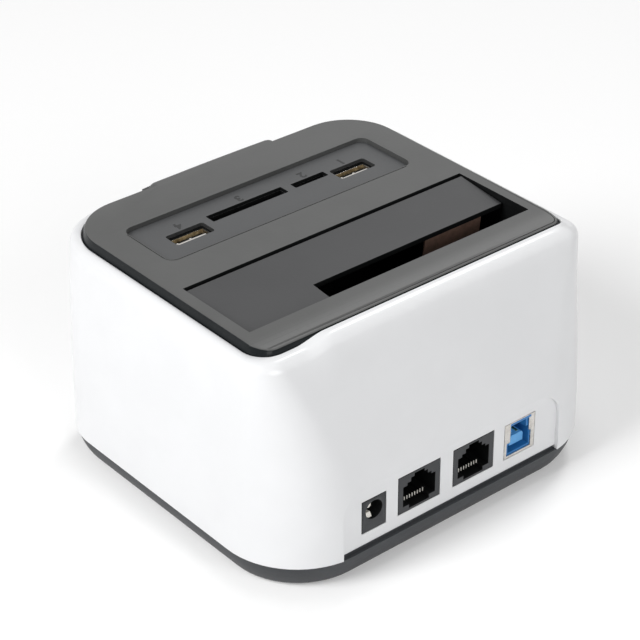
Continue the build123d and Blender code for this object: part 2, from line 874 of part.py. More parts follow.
def make_button(x):
    """A round push button: cap, retaining flange and stem."""
    face = fascia_face - bow_at(x) - button_proud
    cap = rod_y(x, (face, fascia_inner + 0.2), button_z, button_r)
    rim = cap.edges().filter_by(GeomType.CIRCLE).sort_by(Axis.Y)[0]
    cap = fillet(rim, 0.5)
    flange = rod_y(x, (fascia_inner, fascia_inner + 1.0), button_z, button_r + button_flange)
    stem = rod_y(x, (fascia_inner + 0.5, front_board_y - 3.4 - button_travel - 0.1), button_z, 1.5)
    return cap + flange + stem


def make_sata_connector():
    """The drive connector: a plinth on the main board with two keyed tongues' slots."""
    top = bay_floor + sata_rise
    body = block(about(sata_x, sata_length), about(sata_y, sata_width), (board_top, top))
    slot_y = about(sata_y - 0.4, 1.6)
    power = (sata_x - sata_length / 2 + 2.2, sata_x + 3.6)
    signal = (sata_x + 6.4, sata_x + sata_length / 2 - 2.2)
    for span in (power, signal):
        body -= block(span, slot_y, (top - 5.0, top + 1))
        key = (span[0], span[0] + 1.4)
        body -= block(key, (slot_y[0] - 0.9, slot_y[0] + 0.5), (top - 5.0, top + 1))
    return body


def make_sata_contacts():
    """The contact strips in the connector's two slots."""
    top = bay_floor + sata_rise
    strips = []
    face_y = sata_y - 0.4 + 0.8
    power_start = sata_x - sata_length / 2 + 4.1
    signal_start = sata_x + 8.2
    places = [power_start + 1.27 * index for index in range(15)]
    places += [signal_start + 1.27 * index for index in range(7)]
    for x in places:
        strips.append(block(about(x, 0.7), (face_y - 0.3, face_y), (top - 5.0, top - 0.6)))
    return strips


def make_case_screws():
    """Four screws through the tray's bosses into the body's columns."""
    seat = foot_stand + 4.0
    return [
        screw(x, y, seat, 20.0, case_screw_r, 2.8, 1.8)
        for x, y in both_sides(case_screw_spots)
    ]


def make_board_screws():
    """Four screws that hold the main board to the tray."""
    return [
        screw(x, y, board_top, 7.0, board_screw_r, 2.2, 1.5, up=False)
        for x, y in both_sides(board_screw_spots)
    ]


def make_bay_screws():
    """Four screws through the bay's ears into the cover's posts."""
    spots = (bay_screw_rear, bay_screw_front)
    return [
        screw(side * x, y, bay_screw_z - 2.5, 7.5, board_screw_r, 2.2, 1.5)
        for side in (-1, 1)
        for x, y in spots
    ]


def make_card_board_screws():
    """Four screws that hold the card board to the cover's posts."""
    under = card_board_top - board_thickness
    return [
        screw(side * (card_board_half_width - 3.0), y, under, 6.5, board_screw_r, 2.1, 1.4)
        for side in (-1, 1)
        for y in (card_front + 2.2, card_rear - 0.6)
    ]


def make_front_board_screws():
    """Four small screws that hold the front board to the fascia's posts."""
    screws = []
    back = front_board_y + board_thickness
    for side in (-1, 1):
        for z in (button_z - 9, light_z - 5):
            x = side * (fascia_half_width - 4.0)
            shank = rod_y(x, (back - 5.5, back), z, 0.9)
            screws.append(shank + rod_y(x, (back, back + 1.2), z, 1.7))
    return screws


def make_rubber_feet():
    """Four round pads glued into the tray's pockets."""
    return [
        post(x, y, (0, foot_stand + foot_pocket), foot_r)
        for x in (-foot_x, foot_x)
        for y in foot_y
    ]


def make_board_chips():
    """The larger packages on the main board."""
    places = ((-26.0, -26.0, 14.0, 14.0, 1.4), (4.0, -30.0, 10.0, 10.0, 1.2), (14.0, -16.0, 9.0, 6.0, 1.1))
    chips = []
    for x, y, width, depth, height in places:
        chips.append(block(about(x, width), about(y, depth), (board_top, board_top + height)))
    for x in network_x:
        chips.append(block(about(x, 13.0), (37.5, 43.0), (board_top, board_top + 4.0)))
    return chips


def make_heat_sink():
    """A finned heat sink on the largest package."""
    base_z = board_top + 1.4
    sink = block(about(-26.0, 14.0), about(-26.0, 14.0), (base_z, base_z + 1.6))
    for index in range(6):
        x = -26.0 + (index - 2.5) * 2.5
        sink += block(about(x, 1.0), about(-26.0, 14.0), (base_z + 1.0, base_z + 8.0))
    return sink


def make_capacitors():
    """Upright electrolytic capacitors beside the power input."""
    return [post(x, y, (board_top, board_top + 9.0), 3.2) for x, y in ((34.0, -20.0), (34.0, -28.0), (42.0, -24.0))]


def make_ribbon_sockets():
    """The two sockets that the ribbon plugs into."""
    low = block(about(0, 22.0), about(-37.5, 4.0), (board_top, board_top + 4.0))
    under = card_board_top - board_thickness
    high = block(about(0, 22.0), about(-31.0, 4.0), (under - 4.0, under))
    return [low, high]


def make_ribbon_cable():
    """The flat ribbon between the main board and the card board."""
    start_z = board_top + 4.0
    end_z = card_board_top - board_thickness - 4.0
    middle = (start_z + end_z) / 2
    path = FilletPolyline(
        (-37.5, start_z), (-37.5, middle - 5), (-31.0, middle + 5), (-31.0, end_z), radius=5.0
    )
    strip = Plane.YZ * trace(path, 0.5)
    return Pos(-10.0, 0, 0) * extrude(strip, amount=20.0, dir=(1, 0, 0))


def make_parts():
    """Every node by name; a list is a group of separate solids in one node."""
    parts = {
        "outer_shell": make_outer_shell(),
        "base_tray": make_base_tray(),
        "top_cover": make_top_cover(),
        "card_panel": make_card_panel(),
        "front_fascia": make_front_fascia(),
        "light_pipes": make_light_pipes(),
        "drive_bay": make_drive_bay(),
        "drive_flap": make_drive_flap(),
        "pressure_leaf": make_pressure_leaf(),
        "flap_hinge_pin": make_hinge_pin(),
        "flap_spring": make_flap_spring(),
        "power_button": make_button(button_x),
        "backup_button": make_button(-button_x),
        "button_switches": make_switches(),
        "front_board": make_front_board(),
        "status_lamps": make_status_lamps(),
        "main_board": make_main_board(),
        "board_chips": make_board_chips(),
        "heat_sink": make_heat_sink(),
        "capacitors": make_capacitors(),
        "dc_jack": make_dc_jack(),
        "dc_jack_pin": make_dc_jack_pin(),
        "dc_jack_contact": make_dc_jack_contact(),
        "network_contacts": make_network_contacts(),
        "usb_b_shell": make_usb_b_shell(),
        "usb_b_insert": make_usb_b_insert(),
        "usb_b_contacts": make_usb_b_contacts(),
        "card_board": make_card_board(),
        "usb_a_contacts": make_fast_port_contacts(),
        "card_socket": make_card_socket(card_slot_x, card_slot_y, 30.0, 5.2, 24.6, 2.6),
        "micro_card_socket": make_card_socket(small_slot_x, small_slot_y, 14.0, 3.6, 11.4, 1.2),
        "sata_connector": make_sata_connector(),
        "sata_contacts": make_sata_contacts(),
        "ribbon_cable": make_ribbon_cable(),
        "ribbon_sockets": make_ribbon_sockets(),
        "case_screws": make_case_screws(),
        "main_board_screws": make_board_screws(),
        "bay_screws": make_bay_screws(),
        "card_board_screws": make_card_board_screws(),
        "front_board_screws": make_front_board_screws(),
        "rubber_feet": make_rubber_feet(),
    }
    for number, x in enumerate(network_x, start=1):
        parts[f"network_jack_{number}"] = make_network_jack(x)
    for number, x in enumerate(fast_port_x, start=1):
        parts[f"usb_a_shell_{number}"] = make_fast_port_shell(x)
        parts[f"usb_a_tongue_{number}"] = make_fast_port_tongue(x)
    return parts


def main():
    """Writes one STEP file per node, moved so that the origin is under the middle of the whole."""
    os.makedirs("parts", exist_ok=True)
    for name, shape in make_parts().items():
        pieces = shape if isinstance(shape, list) else [shape]
        solids = [Pos(0, -centre_y, 0) * solid for piece in pieces for solid in piece.solids()]
        node = solids[0] if len(solids) == 1 else Compound(children=solids)
        export_step(node, f"parts/{name}.step")
        box = node.bounding_box()
        print(name, round(node.volume, 1), round(box.min.Y, 3), round(box.max.Y, 3), round(box.max.Z, 3))


main()
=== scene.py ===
"""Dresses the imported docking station: its moulded body, cover, flap, sockets, finishes and studio."""

from __future__ import annotations

import json
import logging
import math
from dataclasses import dataclass, field
from enum import Enum
from typing import Callable, Iterable, Mapping, Sequence

import bmesh
import bpy
from mathutils import Matrix, Vector

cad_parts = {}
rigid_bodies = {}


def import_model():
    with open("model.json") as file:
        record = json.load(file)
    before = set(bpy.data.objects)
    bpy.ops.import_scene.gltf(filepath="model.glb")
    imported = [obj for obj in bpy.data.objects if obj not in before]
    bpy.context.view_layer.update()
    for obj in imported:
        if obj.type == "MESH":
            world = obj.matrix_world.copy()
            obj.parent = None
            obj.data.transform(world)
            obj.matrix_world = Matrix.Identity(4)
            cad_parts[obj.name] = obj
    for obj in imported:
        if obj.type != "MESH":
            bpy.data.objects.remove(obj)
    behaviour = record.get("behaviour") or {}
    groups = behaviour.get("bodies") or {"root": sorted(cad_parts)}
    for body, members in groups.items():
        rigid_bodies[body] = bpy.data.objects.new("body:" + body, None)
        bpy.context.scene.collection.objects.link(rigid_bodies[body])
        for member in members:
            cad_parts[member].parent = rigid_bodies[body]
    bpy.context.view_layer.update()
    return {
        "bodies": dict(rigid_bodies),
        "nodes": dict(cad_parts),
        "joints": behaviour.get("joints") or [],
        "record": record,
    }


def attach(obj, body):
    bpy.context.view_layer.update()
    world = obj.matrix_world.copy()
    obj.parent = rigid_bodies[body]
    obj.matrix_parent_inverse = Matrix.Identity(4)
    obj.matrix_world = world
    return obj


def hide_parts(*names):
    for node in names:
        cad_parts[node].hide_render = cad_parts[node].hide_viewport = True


LOG = logging.getLogger("docking_station")
MM = 0.001
CENTRE_Y = 2.4
PORT_PLANE = 60.2
BOARD_TOP = 14.1
SMOOTH_ANGLE = math.radians(32)


def place(x: float, y: float, z: float) -> Vector:
    """A point given in the drawing's millimetres, in the frame's metres."""
    return Vector((x, y - CENTRE_Y, z)) * MM


def smoothstep(low: float, high: float, value: float) -> float:
    """A smooth rise from 0 at low to 1 at high."""
    share = min(max((value - low) / (high - low), 0.0), 1.0)
    return share * share * (3 - 2 * share)


def parabola(places: Sequence[float], values: Sequence[float], z: float) -> float:
    """A value on the parabola through three values.

    Args:
        places: the three heights.
        values: the value at each.
        z: the height asked for.

    Returns:
        The value at z.
    """
    low, mid, high = places
    first, second, third = values
    return (
        first * (z - mid) * (z - high) / ((low - mid) * (low - high))
        + second * (z - low) * (z - high) / ((mid - low) * (mid - high))
        + third * (z - low) * (z - mid) / ((high - low) * (high - mid))
    )


def upright(edge: bmesh.types.BMEdge) -> bool:
    """Whether a block's edge stands upright."""
    return abs(edge.verts[0].co.z - edge.verts[1].co.z) > 1


def linked(name: str, data: bpy.types.ID) -> bpy.types.Object:
    """A new object in the scene, made from its data."""
    made = bpy.data.objects.new(name, data)
    bpy.context.scene.collection.objects.link(made)
    return made


class Body(Enum):
    """The rigid bodies that pieces ride on."""

    HOUSING = "housing"
    FLAP = "flap"
    POWER_KEY = "power_key"
    BACKUP_KEY = "backup_key"


class Wire:
    """A shader socket that takes part in arithmetic."""

    def __init__(self, graph: Graph, socket: bpy.types.NodeSocket) -> None:
        """Wraps one output socket.

        Args:
            graph: the graph that new nodes go into.
            socket: the output to wrap.
        """
        self.graph = graph
        self.socket = socket

    def __add__(self, other: Wire | float) -> Wire:
        """The sum with other."""
        return self.graph.maths("ADD", self, other)

    def __mul__(self, other: Wire | float) -> Wire:
        """The product with other."""
        return self.graph.maths("MULTIPLY", self, other)

    def most(self, other: Wire | float) -> Wire:
        """The larger of this and other."""
        return self.graph.maths("MAXIMUM", self, other)

    def band(self, low: float, high: float) -> Wire:
        """A smooth step of the value from 0 at low to 1 at high."""
        node = self.graph.node(
            "ShaderNodeMapRange",
            {"interpolation_type": "SMOOTHSTEP"},
            {"Value": self, "From Min": low, "From Max": high},
        )
        return Wire(self.graph, node.outputs["Result"])


class Graph:
    """A material's or world's node tree under construction."""

    def __init__(self, tree: bpy.types.NodeTree) -> None:
        """Empties the tree.

        Args:
            tree: the node tree to fill.
        """
        self.tree = tree
        tree.nodes.clear()

    def node(
        self,
        kind: str,
        settings: Mapping[str, object] | None = None,
        values: Mapping[str | int, object] | None = None,
    ) -> bpy.types.Node:
        """Adds a node.

        Args:
            kind: the node's type name.
            settings: properties set first; "stops" fills a colour ramp.
            values: what each input socket gets, a wire or a plain value.

        Returns:
            The new node.
        """
        made = self.tree.nodes.new(kind)
        for name, setting in (settings or {}).items():
            if name == "stops":
                self._fill_ramp(made.color_ramp, setting)
            else:
                setattr(made, name, setting)
        for key, value in (values or {}).items():
            if isinstance(value, Wire):
                self.tree.links.new(value.socket, made.inputs[key])
            else:
                made.inputs[key].default_value = value
        return made

    @staticmethod
    def _fill_ramp(ramp: bpy.types.ColorRamp, stops: Sequence[tuple[float, Sequence[float]]]) -> None:
        """Sets a ramp's stops.

        Args:
            ramp: the ramp to fill.
            stops: position and colour of each stop, two or more.
        """
        while len(ramp.elements) < len(stops):
            ramp.elements.new(1.0)
        for element, (position, colour) in zip(ramp.elements, stops):
            element.position = position
            element.color = (*colour, 1.0)

    def maths(self, operation: str, left: Wire | float, right: Wire | float) -> Wire:
        """One Math node.

        Args:
            operation: the node's operation.
            left: the first value.
            right: the second value.

        Returns:
            The result.
        """
        node = self.node("ShaderNodeMath", {"operation": operation}, {0: left, 1: right})
        return Wire(self, node.outputs[0])

    def place(self, scale: Sequence[float] = (1.0, 1.0, 1.0)) -> Wire:
        """Object coordinates, stretched by scale."""
        source = self.node("ShaderNodeTexCoord")
        mapping = self.node(
            "ShaderNodeMapping", {}, {"Vector": Wire(self, source.outputs["Object"]), "Scale": tuple(scale)}
        )
        return Wire(self, mapping.outputs["Vector"])

    def noise(self, size_mm: float, detail: float = 2.0, stretch: Sequence[float] = (1.0, 1.0, 1.0)) -> Wire:
        """Noise whose features are about size_mm across.

        Args:
            size_mm: feature size in millimetres.
            detail: octaves of finer noise.
            stretch: scale of the coordinates along each axis.

        Returns:
            A value from 0 to 1.
        """
        node = self.node(
            "ShaderNodeTexNoise",
            {},
            {"Vector": self.place(stretch), "Scale": 1.0 / (size_mm * MM), "Detail": detail, "Roughness": 0.55},
        )
        return Wire(self, node.outputs["Fac"])

    def blend(self, share: Wire, low: Sequence[float], high: Sequence[float]) -> Wire:
        """A colour between two, by share."""
        node = self.node(
            "ShaderNodeMix",
            {"data_type": "RGBA"},
            {"Factor": share, "A": (*low, 1.0), "B": (*high, 1.0)},
        )
        return Wire(self, node.outputs["Result"])

    def bump(self, height: Wire, depth_mm: float, strength: float = 1.0) -> Wire:
        """A normal bent by a height field of the given depth."""
        node = self.node(
            "ShaderNodeBump", {}, {"Height": height, "Distance": depth_mm * MM, "Strength": strength}
        )
        return Wire(self, node.outputs["Normal"])


@dataclass(frozen=True)
class Finish:
    """A moulded or plated surface: two close tones, a roughness range and a fine relief."""

    name: str
    slot: str
    tone: tuple[float, float, float]
    second_tone: tuple[float, float, float]
    roughness: tuple[float, float] = (0.4, 0.5)
    grain_mm: float = 0.4
    grain_depth_mm: float = 0.004
    cloud_mm: float = 14.0
    metallic: float = 0.0
    coat: float = 0.0
    stretch: tuple[float, float, float] = (1.0, 1.0, 1.0)
    specular: float = 0.5

    def material(self) -> bpy.types.Material:
        """Makes the material.

        Returns:
            The new material.
        """
        made = bpy.data.materials.new(self.name)
        made.use_nodes = True
        graph = Graph(made.node_tree)
        shader = graph.node("ShaderNodeBsdfPrincipled", {}, self.sockets(graph))
        out = graph.node("ShaderNodeOutputMaterial", {}, {"Surface": Wire(graph, shader.outputs["BSDF"])})
        made.diffuse_color = (*self.tone, 1.0)
        out.is_active_output = True
        return made

    def sockets(self, graph: Graph) -> dict[str, object]:
        """What each socket of the surface shader gets.

        Args:
            graph: the material's graph.

        Returns:
            Socket names with wires or values.
        """
        cloud = graph.noise(self.cloud_mm, 3.0)
        grain = graph.noise(self.grain_mm, 2.0, self.stretch)
        low, high = self.roughness
        return {
            "Base Color": graph.blend(cloud.band(0.35, 0.65), self.tone, self.second_tone),
            "Roughness": cloud * (0.6 * (high - low)) + grain * (0.4 * (high - low)) + low,
            "Metallic": self.metallic,
            "Coat Weight": self.coat,
            "Coat Roughness": 0.08,
            "Specular IOR Level": self.specular,
            "Normal": graph.bump(grain, self.grain_depth_mm),
        }


@dataclass(frozen=True)
class SparkedFinish(Finish):
    """A mould's spark-eroded texture: rounded pits of two sizes, with handling sheen."""

    pit_mm: float = 0.55

    def sockets(self, graph: Graph) -> dict[str, object]:
        """What each socket of the surface shader gets.

        Args:
            graph: the material's graph.

        Returns:
            Socket names with wires or values.
        """
        made = super().sockets(graph)
        pits = graph.node(
            "ShaderNodeTexVoronoi",
            {"feature": "SMOOTH_F1"},
            {"Vector": graph.place(), "Scale": 1.0 / (self.pit_mm * MM), "Smoothness": 1.0},
        )
        relief = Wire(graph, pits.outputs["Distance"]) + graph.noise(self.grain_mm, 2.0)
        made["Normal"] = graph.bump(relief, self.grain_depth_mm)
        return made


@dataclass(frozen=True)
class RolledFinish(Finish):
    """Rolled or drawn metal: fine lines along one axis over clouded tarnish."""

    line_mm: float = 0.12

    def sockets(self, graph: Graph) -> dict[str, object]:
        """What each socket of the surface shader gets.

        Args:
            graph: the material's graph.

        Returns:
            Socket names with wires or values.
        """
        made = super().sockets(graph)
        lines = graph.noise(self.line_mm, 1.0, self.stretch)
        tarnish = graph.noise(self.cloud_mm * 0.3, 4.0)
        low, high = self.roughness
        made["Base Color"] = graph.blend((tarnish + lines * 0.3).band(0.4, 0.9), self.tone, self.second_tone)
        made["Roughness"] = lines * (high - low) + low
        made["Normal"] = graph.bump(lines, self.grain_depth_mm)
        return made


@dataclass(frozen=True)
class BoardFinish(Finish):
    """Solder resist over copper: darker green with faint raised tracks."""

    track_mm: float = 1.3

    def sockets(self, graph: Graph) -> dict[str, object]:
        """What each socket of the surface shader gets.

        Args:
            graph: the material's graph.

        Returns:
            Socket names with wires or values.
        """
        made = super().sockets(graph)
        bricks = graph.node(
            "ShaderNodeTexBrick",
            {"offset": 0.35, "squash": 0.6},
            {
                "Vector": graph.place(),
                "Scale": 1.0 / (self.track_mm * 8 * MM),
                "Color1": (1, 1, 1, 1),
                "Color2": (0.7, 0.7, 0.7, 1),
                "Mortar": (0, 0, 0, 1),
                "Mortar Size": 0.03,
                "Mortar Smooth": 0.2,
            },
        )
        tracks = Wire(graph, bricks.outputs["Fac"])
        made["Base Color"] = graph.blend(tracks, self.tone, self.second_tone)
        made["Normal"] = graph.bump(tracks, 0.02)
        return made


@dataclass(frozen=True)
class ClearFinish(Finish):
    """Clear moulded plastic."""

    def sockets(self, graph: Graph) -> dict[str, object]:
        """What each socket of the surface shader gets.

        Args:
            graph: the material's graph.

        Returns:
            Socket names with wires or values.
        """
        made = super().sockets(graph)
        made["Transmission Weight"] = 0.85
        made["IOR"] = 1.49
        return made


WHITE = SparkedFinish(
    "glossy_white", "shell_white", (0.74, 0.745, 0.755), (0.76, 0.765, 0.775),
    (0.26, 0.32), 1.6, 0.0012, 30.0, coat=0.12, pit_mm=2.4,
)
COVER = SparkedFinish(
    "satin_cover", "cover_grey", (0.057, 0.058, 0.057), (0.064, 0.065, 0.064),
    (0.42, 0.52), 0.5, 0.012, 20.0, pit_mm=0.8,
)
PANEL = SparkedFinish(
    "satin_panel", "cover_grey", (0.045, 0.0465, 0.0485), (0.050, 0.0515, 0.0535),
    (0.42, 0.52), 0.5, 0.012, 20.0, pit_mm=0.8,
)
# The cover's side band: its gloss is its own, but its near-black tone is a painted dark reflection.
PAINTED_DARK_BAND = Finish(
    "gloss_band_painted_dark", "cover_grey", (0.008, 0.010, 0.011), (0.010, 0.012, 0.013),
    (0.18, 0.24), 1.2, 0.001, 10.0, specular=0.12,
)
FLAP = SparkedFinish(
    "satin_flap", "flap_grey", (0.0315, 0.032, 0.0335), (0.0355, 0.036, 0.0375),
    (0.42, 0.52), 0.5, 0.012, 20.0, pit_mm=0.8, specular=0.36,
)
BASE = SparkedFinish(
    "matt_base", "base_grey", (0.029, 0.031, 0.035), (0.034, 0.037, 0.041),
    (0.5, 0.62), 0.5, 0.016, 12.0, pit_mm=0.9,
)
FASCIA = Finish(
    "gloss_fascia", "fascia_black", (0.011, 0.011, 0.012), (0.014, 0.014, 0.015),
    (0.08, 0.14), 1.5, 0.001, 12.0, coat=0.15, specular=0.3,
)
BUTTON = Finish(
    "satin_button", "button_black", (0.028, 0.028, 0.03), (0.034, 0.034, 0.036),
    (0.25, 0.35), 0.5, 0.003, 5.0,
)
# Near-black: the own colour of the black inner mouldings, and also painted shade on slot walls, mouth interiors,
# the flap's edges and the contacts' wires.
INNER_BLACK_AND_SHADE = SparkedFinish(
    "matt_black_and_painted_shade", "inner_black", (0.003, 0.0034, 0.0035), (0.0042, 0.0046, 0.0048),
    (0.5, 0.65), 0.6, 0.02, 9.0, pit_mm=1.0, specular=0.12,
)
PORT = SparkedFinish(
    "socket_plastic", "port_plastic", (0.050, 0.051, 0.054), (0.058, 0.059, 0.062),
    (0.35, 0.5), 0.3, 0.008, 4.0, pit_mm=0.5,
)
NICKEL = RolledFinish(
    "nickel_plate", "nickel", (0.62, 0.6, 0.57), (0.5, 0.48, 0.45),
    (0.2, 0.34), 0.3, 0.002, 5.0, metallic=1.0, stretch=(1.0, 1.0, 0.12),
)
STEEL = RolledFinish(
    "bright_steel", "steel", (0.56, 0.56, 0.57), (0.44, 0.44, 0.45),
    (0.25, 0.4), 0.3, 0.003, 5.0, metallic=1.0, stretch=(0.15, 1.0, 1.0),
)
BRONZE = RolledFinish(
    "rolled_bronze", "bronze", (0.36, 0.22, 0.17), (0.24, 0.15, 0.115),
    (0.35, 0.5), 0.3, 0.004, 9.0, metallic=0.5, stretch=(0.08, 1.0, 1.0),
)
GOLD = RolledFinish(
    "gold_flash", "gold", (0.83, 0.64, 0.3), (0.72, 0.52, 0.22),
    (0.18, 0.3), 0.2, 0.001, 3.0, metallic=1.0, stretch=(1.0, 0.3, 0.3),
)
ALUMINIUM = RolledFinish(
    "bare_aluminium", "aluminium", (0.7, 0.7, 0.71), (0.6, 0.6, 0.61),
    (0.32, 0.48), 0.3, 0.004, 6.0, metallic=1.0, stretch=(1.0, 0.1, 1.0),
)
SOCKET_FACE = SparkedFinish(
    "jack_plastic", "port_plastic", (0.035, 0.037, 0.040), (0.040, 0.042, 0.045),
    (0.35, 0.5), 0.3, 0.008, 4.0, pit_mm=0.5, specular=0.3,
)
# Painted light and reflection: a warm, mostly non-metal tone on the nickel shells' rear-facing inner walls, so
# that they show warm and bright.
LIT_WARM_WALL = RolledFinish(
    "painted_warm_light", "gold", (0.62, 0.47, 0.25), (0.2, 0.14, 0.07),
    (0.3, 0.45), 0.3, 0.002, 6.0, metallic=0.35, stretch=(1.0, 0.3, 0.3),
)
# Painted highlight: a near-white, mostly non-metal tone standing in for the glint on metal contacts.
HIGHLIGHT_METAL = RolledFinish(
    "painted_highlight_contact", "nickel", (0.92, 0.90, 0.84), (0.82, 0.79, 0.72),
    (0.25, 0.4), 0.2, 0.001, 3.0, metallic=0.2, stretch=(1.0, 0.3, 0.3),
)
# Painted shade: the card panel's mouth walls, darker than the panel's own grey.
SHADED_MOUTH_WALL = Finish(
    "painted_shade_mouth_wall", "cover_grey", (0.020, 0.0205, 0.021), (0.024, 0.0245, 0.025), (0.5, 0.6), 0.4, 0.004, 4.0
)
TONGUE_BLUE = SparkedFinish(
    "tongue_blue", "insert_blue", (0.10, 0.36, 0.72), (0.12, 0.40, 0.78),
    (0.35, 0.45), 0.3, 0.006, 3.0, pit_mm=0.5,
)
INSERT = SparkedFinish(
    "socket_blue", "insert_blue", (0.022, 0.165, 0.43), (0.027, 0.19, 0.48),
    (0.35, 0.45), 0.3, 0.006, 3.0, pit_mm=0.5,
)
BOARD = BoardFinish(
    "solder_resist", "board_green", (0.014, 0.085, 0.036), (0.02, 0.12, 0.052), (0.3, 0.4), 0.6, 0.01
)
CHIP = SparkedFinish(
    "chip_package", "chip_black", (0.014, 0.014, 0.015), (0.02, 0.02, 0.021),
    (0.5, 0.6), 0.3, 0.008, 4.0, pit_mm=0.4,
)
LAMP = Finish("lamp_lens", "lamp_white", (0.72, 0.72, 0.68), (0.76, 0.76, 0.72), (0.3, 0.4), 0.4, 0.003, 2.0)
RIBBON = Finish(
    "ribbon_film", "ribbon_white", (0.66, 0.66, 0.64), (0.72, 0.72, 0.7), (0.3, 0.4), 0.3, 0.004, 3.0
)
RUBBER = SparkedFinish(
    "foot_rubber", "rubber", (0.02, 0.02, 0.021), (0.028, 0.028, 0.029),
    (0.7, 0.85), 0.3, 0.03, 4.0, pit_mm=0.45,
)
CLEAR = ClearFinish(
    "clear_window", "clear_plastic", (0.8, 0.85, 0.9), (0.82, 0.87, 0.92), (0.08, 0.14), 0.5, 0.002
)
PRINT = Finish(
    "printed_mark", "inner_black", (0.006, 0.0065, 0.007), (0.008, 0.0085, 0.009), (0.5, 0.6), 0.2, 0.004, 2.0
)

NODE_FINISHES: dict[str, Finish] = {
    "light_pipes": CLEAR,
    "drive_bay": INNER_BLACK_AND_SHADE,
    "pressure_leaf": BRONZE,
    "flap_hinge_pin": STEEL,
    "flap_spring": STEEL,
    "button_switches": INNER_BLACK_AND_SHADE,
    "front_board": BOARD,
    "status_lamps": LAMP,
    "main_board": BOARD,
    "board_chips": CHIP,
    "heat_sink": ALUMINIUM,
    "capacitors": ALUMINIUM,
    # The jack's pin gets the painted highlight tone.
    "dc_jack_pin": HIGHLIGHT_METAL,
    "usb_b_contacts": GOLD,
    "card_board": BOARD,
    "usb_a_contacts": GOLD,
    "card_socket": INNER_BLACK_AND_SHADE,
    "micro_card_socket": INNER_BLACK_AND_SHADE,
    "sata_connector": PORT,
    "sata_contacts": GOLD,
    "ribbon_cable": RIBBON,
    "ribbon_sockets": RIBBON,
    "main_board_screws": STEEL,
    "bay_screws": STEEL,
    "card_board_screws": STEEL,
    "front_board_screws": STEEL,
}


class Paint:
    """Makes each finish's material once."""

    def __init__(self) -> None:
        """Starts with no materials."""
        self.made: dict[str, bpy.types.Material] = {}

    def material(self, finish: Finish) -> bpy.types.Material:
        """The material of a finish."""
        if finish.name not in self.made:
            self.made[finish.name] = finish.material()
        return self.made[finish.name]


